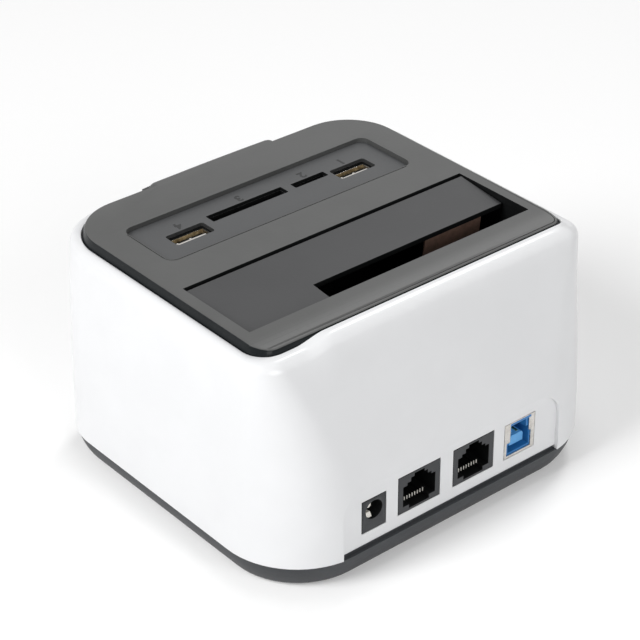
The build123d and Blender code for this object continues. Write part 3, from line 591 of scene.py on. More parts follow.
class Mould:
    """Mesh building in the drawing's millimetres."""

    @staticmethod
    def block(low: Sequence[float], high: Sequence[float]) -> bmesh.types.BMesh:
        """A box between two corners.

        Args:
            low: the lowest corner.
            high: the highest corner.

        Returns:
            The new mesh.
        """
        bm = bmesh.new()
        bmesh.ops.create_cube(bm, size=1.0)
        size = [b - a for a, b in zip(low, high)]
        centre = [(a + b) / 2 for a, b in zip(low, high)]
        bmesh.ops.scale(bm, vec=size, verts=bm.verts)
        bmesh.ops.translate(bm, vec=centre, verts=bm.verts)
        return bm

    @staticmethod
    def round_edges(
        bm: bmesh.types.BMesh, radius: float, steps: int, pick: Callable[[bmesh.types.BMEdge], bool]
    ) -> None:
        """Rounds the picked edges.

        Args:
            bm: the mesh to change.
            radius: the rounding's radius.
            steps: its segments.
            pick: says whether an edge is rounded.
        """
        edges = [edge for edge in bm.edges if pick(edge)]
        bmesh.ops.bevel(
            bm, geom=edges, offset=radius, offset_type="OFFSET", affect="EDGES", segments=steps,
            profile=0.5, material=-1,
        )

    @staticmethod
    def post(centre: Sequence[float], radius: float, height: float, steps: int = 48) -> bmesh.types.BMesh:
        """An upright cylinder that stands on centre."""
        bm = bmesh.new()
        bmesh.ops.create_cone(
            bm, cap_ends=True, segments=steps, radius1=radius, radius2=radius, depth=height
        )
        bmesh.ops.translate(bm, vec=(centre[0], centre[1], centre[2] + height / 2), verts=bm.verts)
        return bm

    @classmethod
    def rod(cls, x: float, ends: tuple[float, float], z: float, radius: float) -> bmesh.types.BMesh:
        """A cylinder that lies front to rear between two ends."""
        bm = cls.post((0, 0, 0), radius, ends[1] - ends[0], 64)
        turn = Matrix.Rotation(math.radians(-90), 3, "X")
        bmesh.ops.rotate(bm, cent=(0, 0, 0), matrix=turn, verts=bm.verts)
        bmesh.ops.translate(bm, vec=(x, ends[0], z), verts=bm.verts)
        return bm

    @staticmethod
    def bow(bm: bmesh.types.BMesh, half_width: float, front: float, amount: float, count: int) -> None:
        """Bows a block's front face forwards.

        Args:
            bm: the block's mesh.
            half_width: half of its width.
            front: the front face's place.
            amount: how far its middle comes forwards.
            count: facets across it.
        """
        for step in range(1, count):
            x = half_width * (2 * step / count - 1)
            everything = list(bm.verts) + list(bm.edges) + list(bm.faces)
            bmesh.ops.bisect_plane(bm, geom=everything, plane_co=(x, 0, 0), plane_no=(1, 0, 0), dist=1e-5)
        for vert in bm.verts:
            if vert.co.y < front + 0.01:
                vert.co.y -= amount * (1 - (vert.co.x / half_width) ** 2)

    @staticmethod
    def solid(bm: bmesh.types.BMesh, name: str) -> bpy.types.Object:
        """Turns a mesh in drawing millimetres into an object in the frame's metres.

        Args:
            bm: the mesh, which is freed.
            name: the object's name.

        Returns:
            The new object.
        """
        bmesh.ops.recalc_face_normals(bm, faces=bm.faces)
        bmesh.ops.translate(bm, vec=(0, -CENTRE_Y, 0), verts=bm.verts)
        bmesh.ops.scale(bm, vec=(MM, MM, MM), verts=bm.verts)
        mesh = bpy.data.meshes.new(name)
        bm.to_mesh(mesh)
        bm.free()
        return linked(name, mesh)

    @staticmethod
    def baked(obj: bpy.types.Object) -> bpy.types.Object:
        """Applies an object's modifiers to its mesh."""
        bpy.context.view_layer.update()
        graph = bpy.context.evaluated_depsgraph_get()
        mesh = bpy.data.meshes.new_from_object(obj.evaluated_get(graph), depsgraph=graph)
        obj.modifiers.clear()
        old = obj.data
        obj.data = mesh
        bpy.data.meshes.remove(old)
        mesh.name = obj.name
        return obj

    @classmethod
    def cut(
        cls, target: bpy.types.Object, cutters: Iterable[bpy.types.Object], operation: str = "DIFFERENCE"
    ) -> bpy.types.Object:
        """Takes cutters from a target, or adds them to it.

        Args:
            target: the object to change.
            cutters: the solids to use, which are removed.
            operation: DIFFERENCE or UNION.

        Returns:
            The target.
        """
        cutters = list(cutters)
        for cutter in cutters:
            step = target.modifiers.new(cutter.name, "BOOLEAN")
            step.operation = operation
            step.object = cutter
            step.solver = "EXACT"
        cls.baked(target)
        for cutter in cutters:
            bpy.data.objects.remove(cutter)
        return target

    @classmethod
    def join_blocks(
        cls, obj: bpy.types.Object, corners: Iterable[tuple[Sequence[float], Sequence[float]]]
    ) -> None:
        """Joins boxes to a piece's mesh.

        Args:
            obj: the piece.
            corners: the lowest and highest corner of each box, in drawing millimetres.
        """
        bm = bmesh.new()
        bm.from_mesh(obj.data)
        for low, high in corners:
            box = cls.solid(cls.block(low, high), "box")
            bm.from_mesh(box.data)
            bpy.data.objects.remove(box)
        bm.to_mesh(obj.data)
        bm.free()

    @staticmethod
    def soften(
        obj: bpy.types.Object, width_mm: float, steps: int = 2, angle: float = 35.0, level_angle: float = 0.4
    ) -> bpy.types.Object:
        """Merges doubles, dissolves flat seams, and rounds every sharp edge.

        Args:
            obj: the object to finish.
            width_mm: the rounding's width.
            steps: its segments.
            angle: the least angle of a rounded edge in degrees.
            level_angle: faces that meet at less than this many degrees become one.

        Returns:
            The object.
        """
        bm = bmesh.new()
        bm.from_mesh(obj.data)
        bmesh.ops.remove_doubles(bm, verts=bm.verts, dist=2e-6)
        bmesh.ops.dissolve_degenerate(bm, edges=bm.edges, dist=2e-6)
        bmesh.ops.dissolve_limit(
            bm, angle_limit=math.radians(level_angle), use_dissolve_boundaries=False, verts=bm.verts,
            edges=bm.edges, delimit={"MATERIAL"},
        )
        bm.to_mesh(obj.data)
        bm.free()
        obj.data.shade_smooth()
        bevel = obj.modifiers.new("edge", "BEVEL")
        bevel.width = width_mm * MM
        bevel.segments = steps
        bevel.limit_method = "ANGLE"
        bevel.angle_limit = math.radians(angle)
        bevel.harden_normals = True
        bevel.use_clamp_overlap = True
        bevel.miter_outer = "MITER_ARC"
        return obj


@dataclass(frozen=True)
class PlanOutline:
    """A rectangle in plan with its own corner radius in front, at the rear right and at the rear left."""

    half_width: float
    front: float
    rear: float
    front_radius: float
    rear_radius: float
    left_rear_radius: float

    def inset(self, amount: float) -> PlanOutline:
        """The outline moved inwards by amount."""
        return PlanOutline(
            self.half_width - amount,
            self.front - amount,
            self.rear - amount,
            max(self.front_radius - amount, 0.3),
            max(self.rear_radius - amount, 0.3),
            max(self.left_rear_radius - amount, 0.3),
        )

    def points(self, corner_steps: int, side_steps: Sequence[int]) -> list[tuple[float, float]]:
        """Points round the outline, anticlockwise from the middle of the front right corner's start.

        Args:
            corner_steps: segments in each corner.
            side_steps: segments along the right, rear, left and front sides.

        Returns:
            The points in plan.
        """
        corners = (
            (1, -1, self.front_radius, -90.0),
            (1, 1, self.rear_radius, 0.0),
            (-1, 1, self.left_rear_radius, 90.0),
            (-1, -1, self.front_radius, 180.0),
        )
        arcs = []
        for x_side, y_side, radius, start in corners:
            edge_y = self.rear if y_side > 0 else -self.front
            centre = (x_side * (self.half_width - radius), edge_y - y_side * radius)
            angles = [math.radians(start + 90.0 * i / corner_steps) for i in range(corner_steps + 1)]
            arcs.append([(centre[0] + radius * math.cos(a), centre[1] + radius * math.sin(a)) for a in angles])
        ring: list[tuple[float, float]] = []
        for index, arc in enumerate(arcs):
            ring += arc
            start, end = arc[-1], arcs[(index + 1) % 4][0]
            count = side_steps[index]
            for step in range(1, count):
                share = step / count
                ring.append((start[0] + (end[0] - start[0]) * share, start[1] + (end[1] - start[1]) * share))
        return ring


Divisions = tuple[int, Sequence[int]]
Lift = Callable[[float, float], float]


@dataclass(frozen=True)
class Level:
    """One ring of a swept wall: an outline at a height, the rim lift it takes and its material."""

    outline: PlanOutline
    z: float
    lift: float = 0.0
    material: int = 0

    def spots(self, divisions: Divisions, lift: Lift | None) -> list[tuple[float, float, float]]:
        """The ring's points.

        Args:
            divisions: segments in each corner and along each side.
            lift: height added at a point in plan.

        Returns:
            The points in order.
        """
        made = []
        for x, y in self.outline.points(*divisions):
            rise = self.lift * lift(x, y) if lift and self.lift else 0.0
            made.append((x, y, self.z + rise))
        return made


@dataclass(frozen=True)
class RimLevel(Level):
    """A ring of the rim's rounding, whose radius varies round the body.

    The outline is the wall's at the rim's height, and foot is the wall's deepest mm lower.
    """

    foot: PlanOutline = field(kw_only=True)
    seat: PlanOutline = field(kw_only=True)
    deepest: float = field(kw_only=True)
    angle: float = field(kw_only=True)
    radius_at: Callable[[float], float] = field(kw_only=True)

    def spots(self, divisions: Divisions, lift: Lift | None) -> list[tuple[float, float, float]]:
        """The ring's points.

        Args:
            divisions: segments in each corner and along each side.
            lift: height added at a point in plan.

        Returns:
            The points in order.
        """
        made = []
        rings = (outline.points(*divisions) for outline in (self.outline, self.foot, self.seat))
        for top, foot, seat in zip(*rings):
            radius = self.radius_at(top[1])
            drop = radius * (1 - math.sin(self.angle))
            wall = Vector(top).lerp(Vector(foot), drop / self.deepest)
            inwards = (Vector(seat) - wall).normalized()
            spot = wall + inwards * radius * (1 - math.cos(self.angle))
            rise = lift(*wall) if lift else 0.0
            made.append((spot.x, spot.y, self.z - drop + rise))
        return made


class WallSweep:
    """A wall swept through a list of levels."""

    def __init__(self, corner_steps: int = 14, side_steps: Sequence[int] = (2, 48, 2, 2)) -> None:
        """Sets how finely a ring is divided.

        Args:
            corner_steps: segments in each corner.
            side_steps: segments along the right, rear, left and front sides.
        """
        self.corner_steps = corner_steps
        self.side_steps = tuple(side_steps)

    def build(
        self, levels: Sequence[Level], closed_tube: bool, lift: Lift | None = None
    ) -> bmesh.types.BMesh:
        """Extrudes a ring through the levels.

        Args:
            levels: the rings in order.
            closed_tube: joins the last ring to the first, in place of caps.
            lift: height added at a point in plan, times each level's share.

        Returns:
            The new mesh.
        """
        count = 4 * (self.corner_steps + 1) + sum(max(steps - 1, 0) for steps in self.side_steps)
        bm = bmesh.new()
        made = bmesh.ops.create_circle(bm, cap_ends=False, radius=1.0, segments=count)
        ring = sorted(made["verts"], key=lambda vert: math.atan2(vert.co.y, vert.co.x) % math.tau)
        self._shape(ring, levels[0], lift)
        first_edges = list(bm.edges)
        edges = first_edges
        for level in levels[1:]:
            order = {tuple(vert.co): index for index, vert in enumerate(ring)}
            result = bmesh.ops.extrude_edge_only(bm, edges=edges)["geom"]
            new_verts = [item for item in result if isinstance(item, bmesh.types.BMVert)]
            for item in result:
                if isinstance(item, bmesh.types.BMFace):
                    item.material_index = level.material
            edges = [item for item in result if isinstance(item, bmesh.types.BMEdge)]
            edges = [edge for edge in edges if all(vert in set(new_verts) for vert in edge.verts)]
            ring = sorted(new_verts, key=lambda vert: order[tuple(vert.co)])
            self._shape(ring, level, lift)
        if closed_tube:
            bmesh.ops.bridge_loops(bm, edges=first_edges + edges)
        else:
            bmesh.ops.contextual_create(bm, geom=first_edges)
            bmesh.ops.contextual_create(bm, geom=edges)
        bmesh.ops.recalc_face_normals(bm, faces=bm.faces)
        return bm

    def _shape(self, ring: Sequence[bmesh.types.BMVert], level: Level, lift: Lift | None) -> None:
        """Moves a ring onto its level.

        Args:
            ring: the ring's vertices in order.
            level: where they go.
            lift: height added at a point in plan.
        """
        for vert, spot in zip(ring, level.spots((self.corner_steps, self.side_steps), lift)):
            vert.co = spot


@dataclass
class BodyForm:
    """The plan of the body and of the cover's seat at each height, in drawing millimetres."""

    base_top: float = 9.0
    recess_top: float = 30.3
    cover_top: float = 76.4
    rim: float = 74.0
    rear_rim: float = 75.6
    ledge: float = 72.4
    half_width: tuple[float, float, float] = (64.8, 64.4, 62.3)
    rear: tuple[float, float, float] = (61.8, 60.9, 47.6)
    front: tuple[float, float, float] = (54.0, 54.2, 54.6)
    rear_radius: tuple[float, float, float] = (26.0, 25.0, 7.0)
    front_radius: tuple[float, float, float] = (20.0, 20.3, 21.0)
    left_sharpening: float = 2.5
    seat: PlanOutline = field(default_factory=lambda: PlanOutline(58.4, 52.5, 44.4, 18.5, 7.5, 4.0))

    def at(self, values: tuple[float, float, float], z: float) -> float:
        """A size at height z, on the parabola through its three values."""
        return parabola((self.base_top, self.recess_top, self.rear_rim), values, z)

    def plan(self, z: float) -> PlanOutline:
        """The body's outline at height z."""
        rear_radius = self.at(self.rear_radius, z)
        return PlanOutline(
            self.at(self.half_width, z),
            self.at(self.front, z),
            self.at(self.rear, z),
            self.at(self.front_radius, z),
            rear_radius,
            rear_radius - self.left_sharpening * smoothstep(55.0, 74.0, z),
        )

    def rim_lift(self, x: float, y: float) -> float:
        """How far the rim stands above its usual height at a point in plan."""
        across = smoothstep(46.5, 36.0, x) * smoothstep(-61.0, -55.0, x)
        return (self.rear_rim - self.rim) * across * smoothstep(34.0, 42.0, y)


@dataclass(frozen=True)
class Refinement:
    """How a CAD node's copy is finished: its finish, body, rounding, and a second finish by rule."""

    node: str
    finish: Finish
    body: Body
    width_mm: float
    inner: Finish | None = None
    rule: Callable[[Vector, Vector], bool] | None = None
    flat: bool = False
    added: tuple[tuple[Sequence[float], Sequence[float]], ...] = ()


class Part:
    """What every sub-assembly shares: its paint and how a piece joins the model."""

    def __init__(self, paint: Paint) -> None:
        """Keeps the paint.

        Args:
            paint: the finishes' materials.
        """
        self.paint = paint

    def dress(
        self, obj: bpy.types.Object, finishes: Sequence[Finish], body: Body, nodes: Sequence[str] = ()
    ) -> bpy.types.Object:
        """Gives a piece its materials, its body and the nodes it stands for.

        Args:
            obj: the piece.
            finishes: one finish per material slot.
            body: the body that it rides on.
            nodes: the CAD nodes that it replaces.

        Returns:
            The piece.
        """
        last = len(finishes) - 1
        kept = [min(face.material_index, last) for face in obj.data.polygons]
        obj.data.materials.clear()
        for finish in finishes:
            obj.data.materials.append(self.paint.material(finish))
        obj.data.polygons.foreach_set("material_index", kept)
        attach(obj, body.value)
        if nodes:
            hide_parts(*nodes)
        LOG.info("%s: %d faces", obj.name, len(obj.data.polygons))
        return obj

    @staticmethod
    def mark_faces(obj: bpy.types.Object, index: int, rule: Callable[[Vector, Vector], bool]) -> None:
        """Gives the faces that a rule picks another material slot.

        Args:
            obj: the piece.
            index: the slot.
            rule: says from a face's centre, in drawing millimetres, and its normal whether it is picked.
        """
        for face in obj.data.polygons:
            centre = Vector((face.center.x / MM, face.center.y / MM + CENTRE_Y, face.center.z / MM))
            if rule(centre, face.normal):
                face.material_index = index

    def refined(self, frame: dict, plan: Refinement) -> bpy.types.Object:
        """A copy of a CAD node with rounded edges, in the node's place.

        Args:
            frame: the loaded frame.
            plan: what the copy gets.

        Returns:
            The copy.
        """
        source = frame["nodes"][plan.node]
        made = linked(f"{plan.node}_moulded", source.data.copy())
        Mould.join_blocks(made, plan.added)
        Mould.soften(made, plan.width_mm, 2)
        if plan.flat:
            made.data.shade_flat()
        finishes = [plan.finish]
        if plan.inner and plan.rule:
            self.mark_faces(made, 1, plan.rule)
            finishes.append(plan.inner)
        return self.dress(made, finishes, plan.body, [plan.node])


class FormPart(Part):
    """A sub-assembly that follows the body's plan."""

    def __init__(self, paint: Paint, form: BodyForm) -> None:
        """Keeps the form.

        Args:
            paint: the finishes' materials.
            form: the body's plan.
        """
        super().__init__(paint)
        self.form = form


class Shell(FormPart):
    """The white body with its rounded rim, cover seat and port recess."""

    wall = 2.2
    rim_round = (1.5, 3.0)
    seat_round = 0.25
    levels_up = 18
    recess_sides = (-41.9, 43.1)
    recess_radius = 8.0
    ports = ((30.9, 9.0, 11.0), (13.6, 16.1, 12.9), (-7.8, 16.1, 12.9), (-26.6, 12.3, 12.2))
    port_gap = 0.15
    fascia_half = 25.2
    fascia_bottom = 25.8

    def rim_radius(self, y: float) -> float:
        """The rim's rounding at y: small in front, wide at the sides and the rear."""
        front, rear = self.rim_round
        return front + (rear - front) * smoothstep(-52.0, -36.0, y)

    def levels(self) -> list[Level]:
        """The wall's section, from the outer foot over the rim and down inside."""
        form = self.form
        deepest = self.rim_round[1]
        shoulder = form.rim - deepest
        made = []
        for step in range(self.levels_up + 1):
            z = form.base_top + (shoulder - form.base_top) * step / self.levels_up
            made.append(Level(form.plan(z), z, smoothstep(60.0, 72.0, z)))
        seat = form.seat
        for step in range(1, 9):
            angle = math.radians(90.0 * step / 8)
            made.append(
                RimLevel(
                    form.plan(form.rim), form.rim, foot=form.plan(shoulder), seat=seat, deepest=deepest,
                    angle=angle, radius_at=self.rim_radius,
                )
            )
        made.append(Level(seat.inset(-self.seat_round), form.rim, 1.0))
        made.append(Level(seat.inset(-0.3 * self.seat_round), form.rim - 0.3 * self.seat_round, 1.0))
        made.append(Level(seat, form.rim - self.seat_round, 1.0))
        made.append(Level(seat, form.ledge))
        made.append(Level(seat.inset(1.5), form.ledge))
        low = form.ledge - 2.4
        made.append(Level(seat.inset(1.5), low))
        for step in range(9):
            z = low + (form.base_top - low) * step / 8
            made.append(Level(form.plan(z).inset(self.wall), z))
        return made

    def recess_cutter(self) -> bpy.types.Object:
        """The recess: a prism with rounded top corners."""
        left, right = self.recess_sides
        bm = Mould.block((left, PORT_PLANE, -5), (right, 90, self.form.recess_top))
        top = self.form.recess_top - 0.01
        Mould.round_edges(
            bm, self.recess_radius, 14,
            lambda edge: all(vert.co.z > top for vert in edge.verts)
            and abs(edge.verts[0].co.x - edge.verts[1].co.x) < 0.01,
        )
        return Mould.solid(bm, "recess_cutter")

    def build(self) -> None:
        """Makes the shell."""
        sweep = WallSweep(16, (2, 72, 2, 2))
        shell = Mould.solid(sweep.build(self.levels(), True, self.form.rim_lift), "shell")
        cutters = [self.recess_cutter()]
        left, right = self.recess_sides
        foot = Mould.block((left, 40, -5), (right, 90, self.form.base_top + 1.1))
        cutters.append(Mould.solid(foot, "foot_cutter"))
        gap = self.port_gap
        for index, (x, width, height) in enumerate(self.ports):
            low = (x - width / 2 - gap, PORT_PLANE - 10, BOARD_TOP - gap)
            high = (x + width / 2 + gap, PORT_PLANE + 10, BOARD_TOP + height + gap)
            cutters.append(Mould.solid(Mould.block(low, high), f"port_cutter_{index}"))
        slot = Mould.block((-self.fascia_half, -90, self.fascia_bottom), (self.fascia_half, -49.5, 90))
        cutters.append(Mould.solid(slot, "fascia_cutter"))
        Mould.cut(shell, cutters)
        Mould.soften(shell, 0.3, 2, 40.0)
        self.dress(shell, [WHITE], Body.HOUSING, ["outer_shell"])


class Cover(FormPart):
    """The dark cover with its gloss band, drive slot, card panel and rear roll; the band's near-black tone is a
    painted dark reflection and the slot's black walls are painted shade.
    """

    gap = 0.3
    flare = 1.0
    edge_round = 0.35
    thickness = 2.2
    roll_length = 7.4
    roll_drop = 1.4
    slot_half = 53.2
    slot_front = 3.2
    slot_rear = 33.4
    panel = PlanOutline(46.8, 35.1, -11.2, 3.0, 3.0, 3.0)
    panel_depth = 1.4
    plate = 1.2
    tray_floor = 1.4
    tray_wall = 1.8
    groove = (0.2, 0.5)
    rear_line = (0.4, 0.64, 0.35)
    mouths = (
        (31.2, -22.6, 13.8, 6.5, 0.9),
        (-32.0, -22.7, 13.8, 6.5, 0.9),
        (7.1, -25.8, 28.7, 4.0, 0.3),
        (-17.05, -25.65, 12.9, 2.8, 0.3),
    )
    tongue_half = 24.2
    tongue_front = -54.3
    tongue_bow = 0.3
    tongue_round = 1.9
    tongue_corner = 2.4

    def roll(self, y: float) -> float:
        """How far the cover's top has rolled down at y."""
        start = self.form.seat.rear - self.gap - self.flare - self.roll_length
        radius = (self.roll_length**2 + self.roll_drop**2) / (2 * self.roll_drop)
        reach = max(y - start, 0.0)
        return radius - math.sqrt(radius * radius - reach * reach)

    def levels(self) -> list[Level]:
        """The cover's outer section from the skirt to the top's edge."""
        form = self.form
        seat = form.seat
        top = form.cover_top
        shoulder = top - self.edge_round
        taper = (shoulder - form.rim) / (top - form.rim) * self.flare
        # Material 1, on the skirt and the lower rounding, is the band painted dark as a reflection.
        made = [
            Level(seat.inset(self.gap), form.ledge, 0, 1),
            Level(seat.inset(self.gap), form.rim, 0, 1),
            Level(seat.inset(self.gap + taper), shoulder, 0, 1),
        ]
        for step in range(1, 5):
            angle = math.radians(90.0 * step / 4)
            inset = self.gap + taper + self.edge_round * (1 - math.cos(angle))
            z = shoulder + self.edge_round * math.sin(angle)
            made.append(Level(seat.inset(inset), z, 0, int(step < 3)))
        near, far, depth = self.rear_line
        edge = self.gap + taper + self.edge_round
        for offset, sunk in ((near, 0.0), (near + 0.02, depth), (far - 0.02, depth), (far, 0.0)):
            made.append(Level(seat.inset(edge + offset), top, -sunk))
        return made

    @staticmethod
    def at_rear(x: float, y: float) -> float:
        """One along the rear edge, fading out towards the power jack's corner."""
        return smoothstep(38.0, 42.0, y) * smoothstep(50.0, 42.0, x)

    def bend(self, bm: bmesh.types.BMesh) -> None:
        """Rolls the top's rear edge down.

        Args:
            bm: the cover's mesh, in drawing millimetres.
        """
        start = self.form.seat.rear - self.gap - self.flare - self.roll_length
        for step in range(9):
            y = start + self.roll_length * step / 9
            everything = list(bm.verts) + list(bm.edges) + list(bm.faces)
            bmesh.ops.bisect_plane(bm, geom=everything, plane_co=(0, y, 0), plane_no=(0, 1, 0), dist=1e-5)
        for vert in bm.verts:
            share = smoothstep(self.form.rim, self.form.cover_top - self.edge_round, vert.co.z)
            vert.co.z -= share * self.roll(vert.co.y)

    def panel_cutter(self) -> bpy.types.Object:
        """The card panel's pocket with rounded corners."""
        top = self.form.cover_top
        levels = [Level(self.panel, z) for z in (top - self.panel_depth - self.plate, top + 10)]
        return Mould.solid(WallSweep(10, (1, 1, 1, 1)).build(levels, False), "panel_cutter")

    def groove_cutter(self) -> bpy.types.Object:
        """The fine groove along the pocket's near and right edges."""
        top = self.form.cover_top
        near, far = (self.panel.inset(-offset) for offset in self.groove)
        levels = [Level(near, top - 0.7), Level(near, top + 1), Level(far, top + 1), Level(far, top - 0.7)]
        ring = Mould.solid(WallSweep(10, (1, 1, 1, 1)).build(levels, True), "groove_cutter")
        reach = self.panel.half_width - self.panel.front_radius
        keep = Mould.block((-reach, -self.panel.front + self.panel.front_radius, 0), (90, 0, 100))
        return Mould.cut(ring, [Mould.solid(keep, "groove_limit")], "INTERSECT")

    def tongue(self) -> bpy.types.Object:
        """The bowed tongue over the rim to the fascia, with rounded corners and a rounded upper edge."""
        top = self.form.cover_top
        front, back = self.tongue_front, -49.8
        bm = Mould.block((-self.tongue_half, front, top - self.thickness), (self.tongue_half, back, top))
        Mould.round_edges(
            bm, self.tongue_corner, 6,
            lambda edge: upright(edge) and all(vert.co.y < front + 0.01 for vert in edge.verts),
        )
        Mould.bow(bm, self.tongue_half, front, self.tongue_bow, 16)
        Mould.round_edges(
            bm, self.tongue_round, 5,
            lambda edge: all(vert.co.z > top - 0.01 for vert in edge.verts)
            and any(vert.co.y < back - 0.1 for vert in edge.verts)
            and len([face for face in edge.link_faces if face.normal.z < 0.5]) == 1,
        )
        return Mould.solid(bm, "tongue")

    def in_slot(self, centre: Vector, normal: Vector) -> bool:
        """Whether a face is a wall of the drive slot or of a hole under the card panel."""
        near, far = self.slot_front - 0.1, self.slot_rear + 0.1
        inside = abs(centre.x) < self.slot_half + 0.1 and near < centre.y < far
        seat = self.form.cover_top - self.panel_depth - self.plate - 0.1
        in_hole = abs(centre.x) < 40.0 and -30.0 < centre.y < -19.0 and centre.z < seat
        return (inside or in_hole) and abs(normal.z) < 0.5

    def build(self) -> None:
        """Makes the cover."""
        top = self.form.cover_top
        bm = WallSweep(14, (2, 2, 2, 2)).build(self.levels(), False, self.at_rear)
        self.bend(bm)
        cover = Mould.solid(bm, "cover")
        under = top - self.thickness
        inner = [Level(self.form.seat.inset(2.5), z) for z in (self.form.ledge - 5, under)]
        hollow = Mould.solid(WallSweep(14, (2, 2, 2, 2)).build(inner, False), "hollow_cutter")
        Mould.cut(cover, [hollow])
        panel = self.panel
        low = top - self.panel_depth - self.plate - self.tray_floor
        wide = panel.inset(-self.tray_wall)
        tray = Mould.block((-wide.half_width, -wide.front, low), (wide.half_width, wide.rear, under + 0.5))
        Mould.cut(cover, [Mould.solid(tray, "tray"), self.tongue()], "UNION")
        cutters = [self.panel_cutter(), self.groove_cutter()]
        half, near, far = self.slot_half, self.slot_front, self.slot_rear
        slot = Mould.block((-half, near, 50), (half, far, 90))
        cutters.append(Mould.solid(slot, "slot_cutter"))
        lip = Mould.block((-half, near - 4, 50), (half, near + 1, top - 1.4))
        cutters.append(Mould.solid(lip, "lip_cutter"))
        Mould.cut(cover, cutters + self.mouth_cutters())
        Mould.soften(cover, 0.2, 2, 40.0)
        # Painted shade: the drive slot's walls and the holes under the card panel turn black.
        self.mark_faces(cover, 2, self.in_slot)
        self.dress(cover, [COVER, PAINTED_DARK_BAND, INNER_BLACK_AND_SHADE], Body.HOUSING, ["top_cover"])
        self.build_panel()

    def mouth_cutters(self) -> list[bpy.types.Object]:
        """A rounded prism through each mouth of the card panel."""
        made = []
        for x, y, width, depth, radius in self.mouths:
            bm = Mould.block((x - width / 2, y - depth / 2, 60), (x + width / 2, y + depth / 2, 90))
            Mould.round_edges(bm, radius, 5, upright)
            made.append(Mould.solid(bm, "mouth_cutter"))
        return made

    def build_panel(self) -> None:
        """Makes the plate in the pocket, with painted shade on its mouths' walls: dark grey, and black in the
        card slots.
        """
        top = self.form.cover_top - self.panel_depth
        outline = self.panel.inset(0.03)
        levels = [Level(outline, top - self.plate + 0.02), Level(outline, top)]
        plate = Mould.solid(WallSweep(10, (1, 1, 1, 1)).build(levels, False), "panel_plate")
        Mould.cut(plate, self.mouth_cutters())
        Mould.soften(plate, 0.12, 2, 40.0)
        plate.data.shade_flat()
        # Painted shade: the mouths' walls turn dark grey, and black in the card slots.
        self.mark_faces(plate, 1, lambda centre, normal: abs(normal.z) < 0.5)
        self.mark_faces(plate, 2, lambda centre, normal: abs(normal.z) < 0.5 and -24.0 < centre.x < 22.0)
        self.dress(plate, [PANEL, SHADED_MOUTH_WALL, INNER_BLACK_AND_SHADE], Body.HOUSING, ["card_panel"])


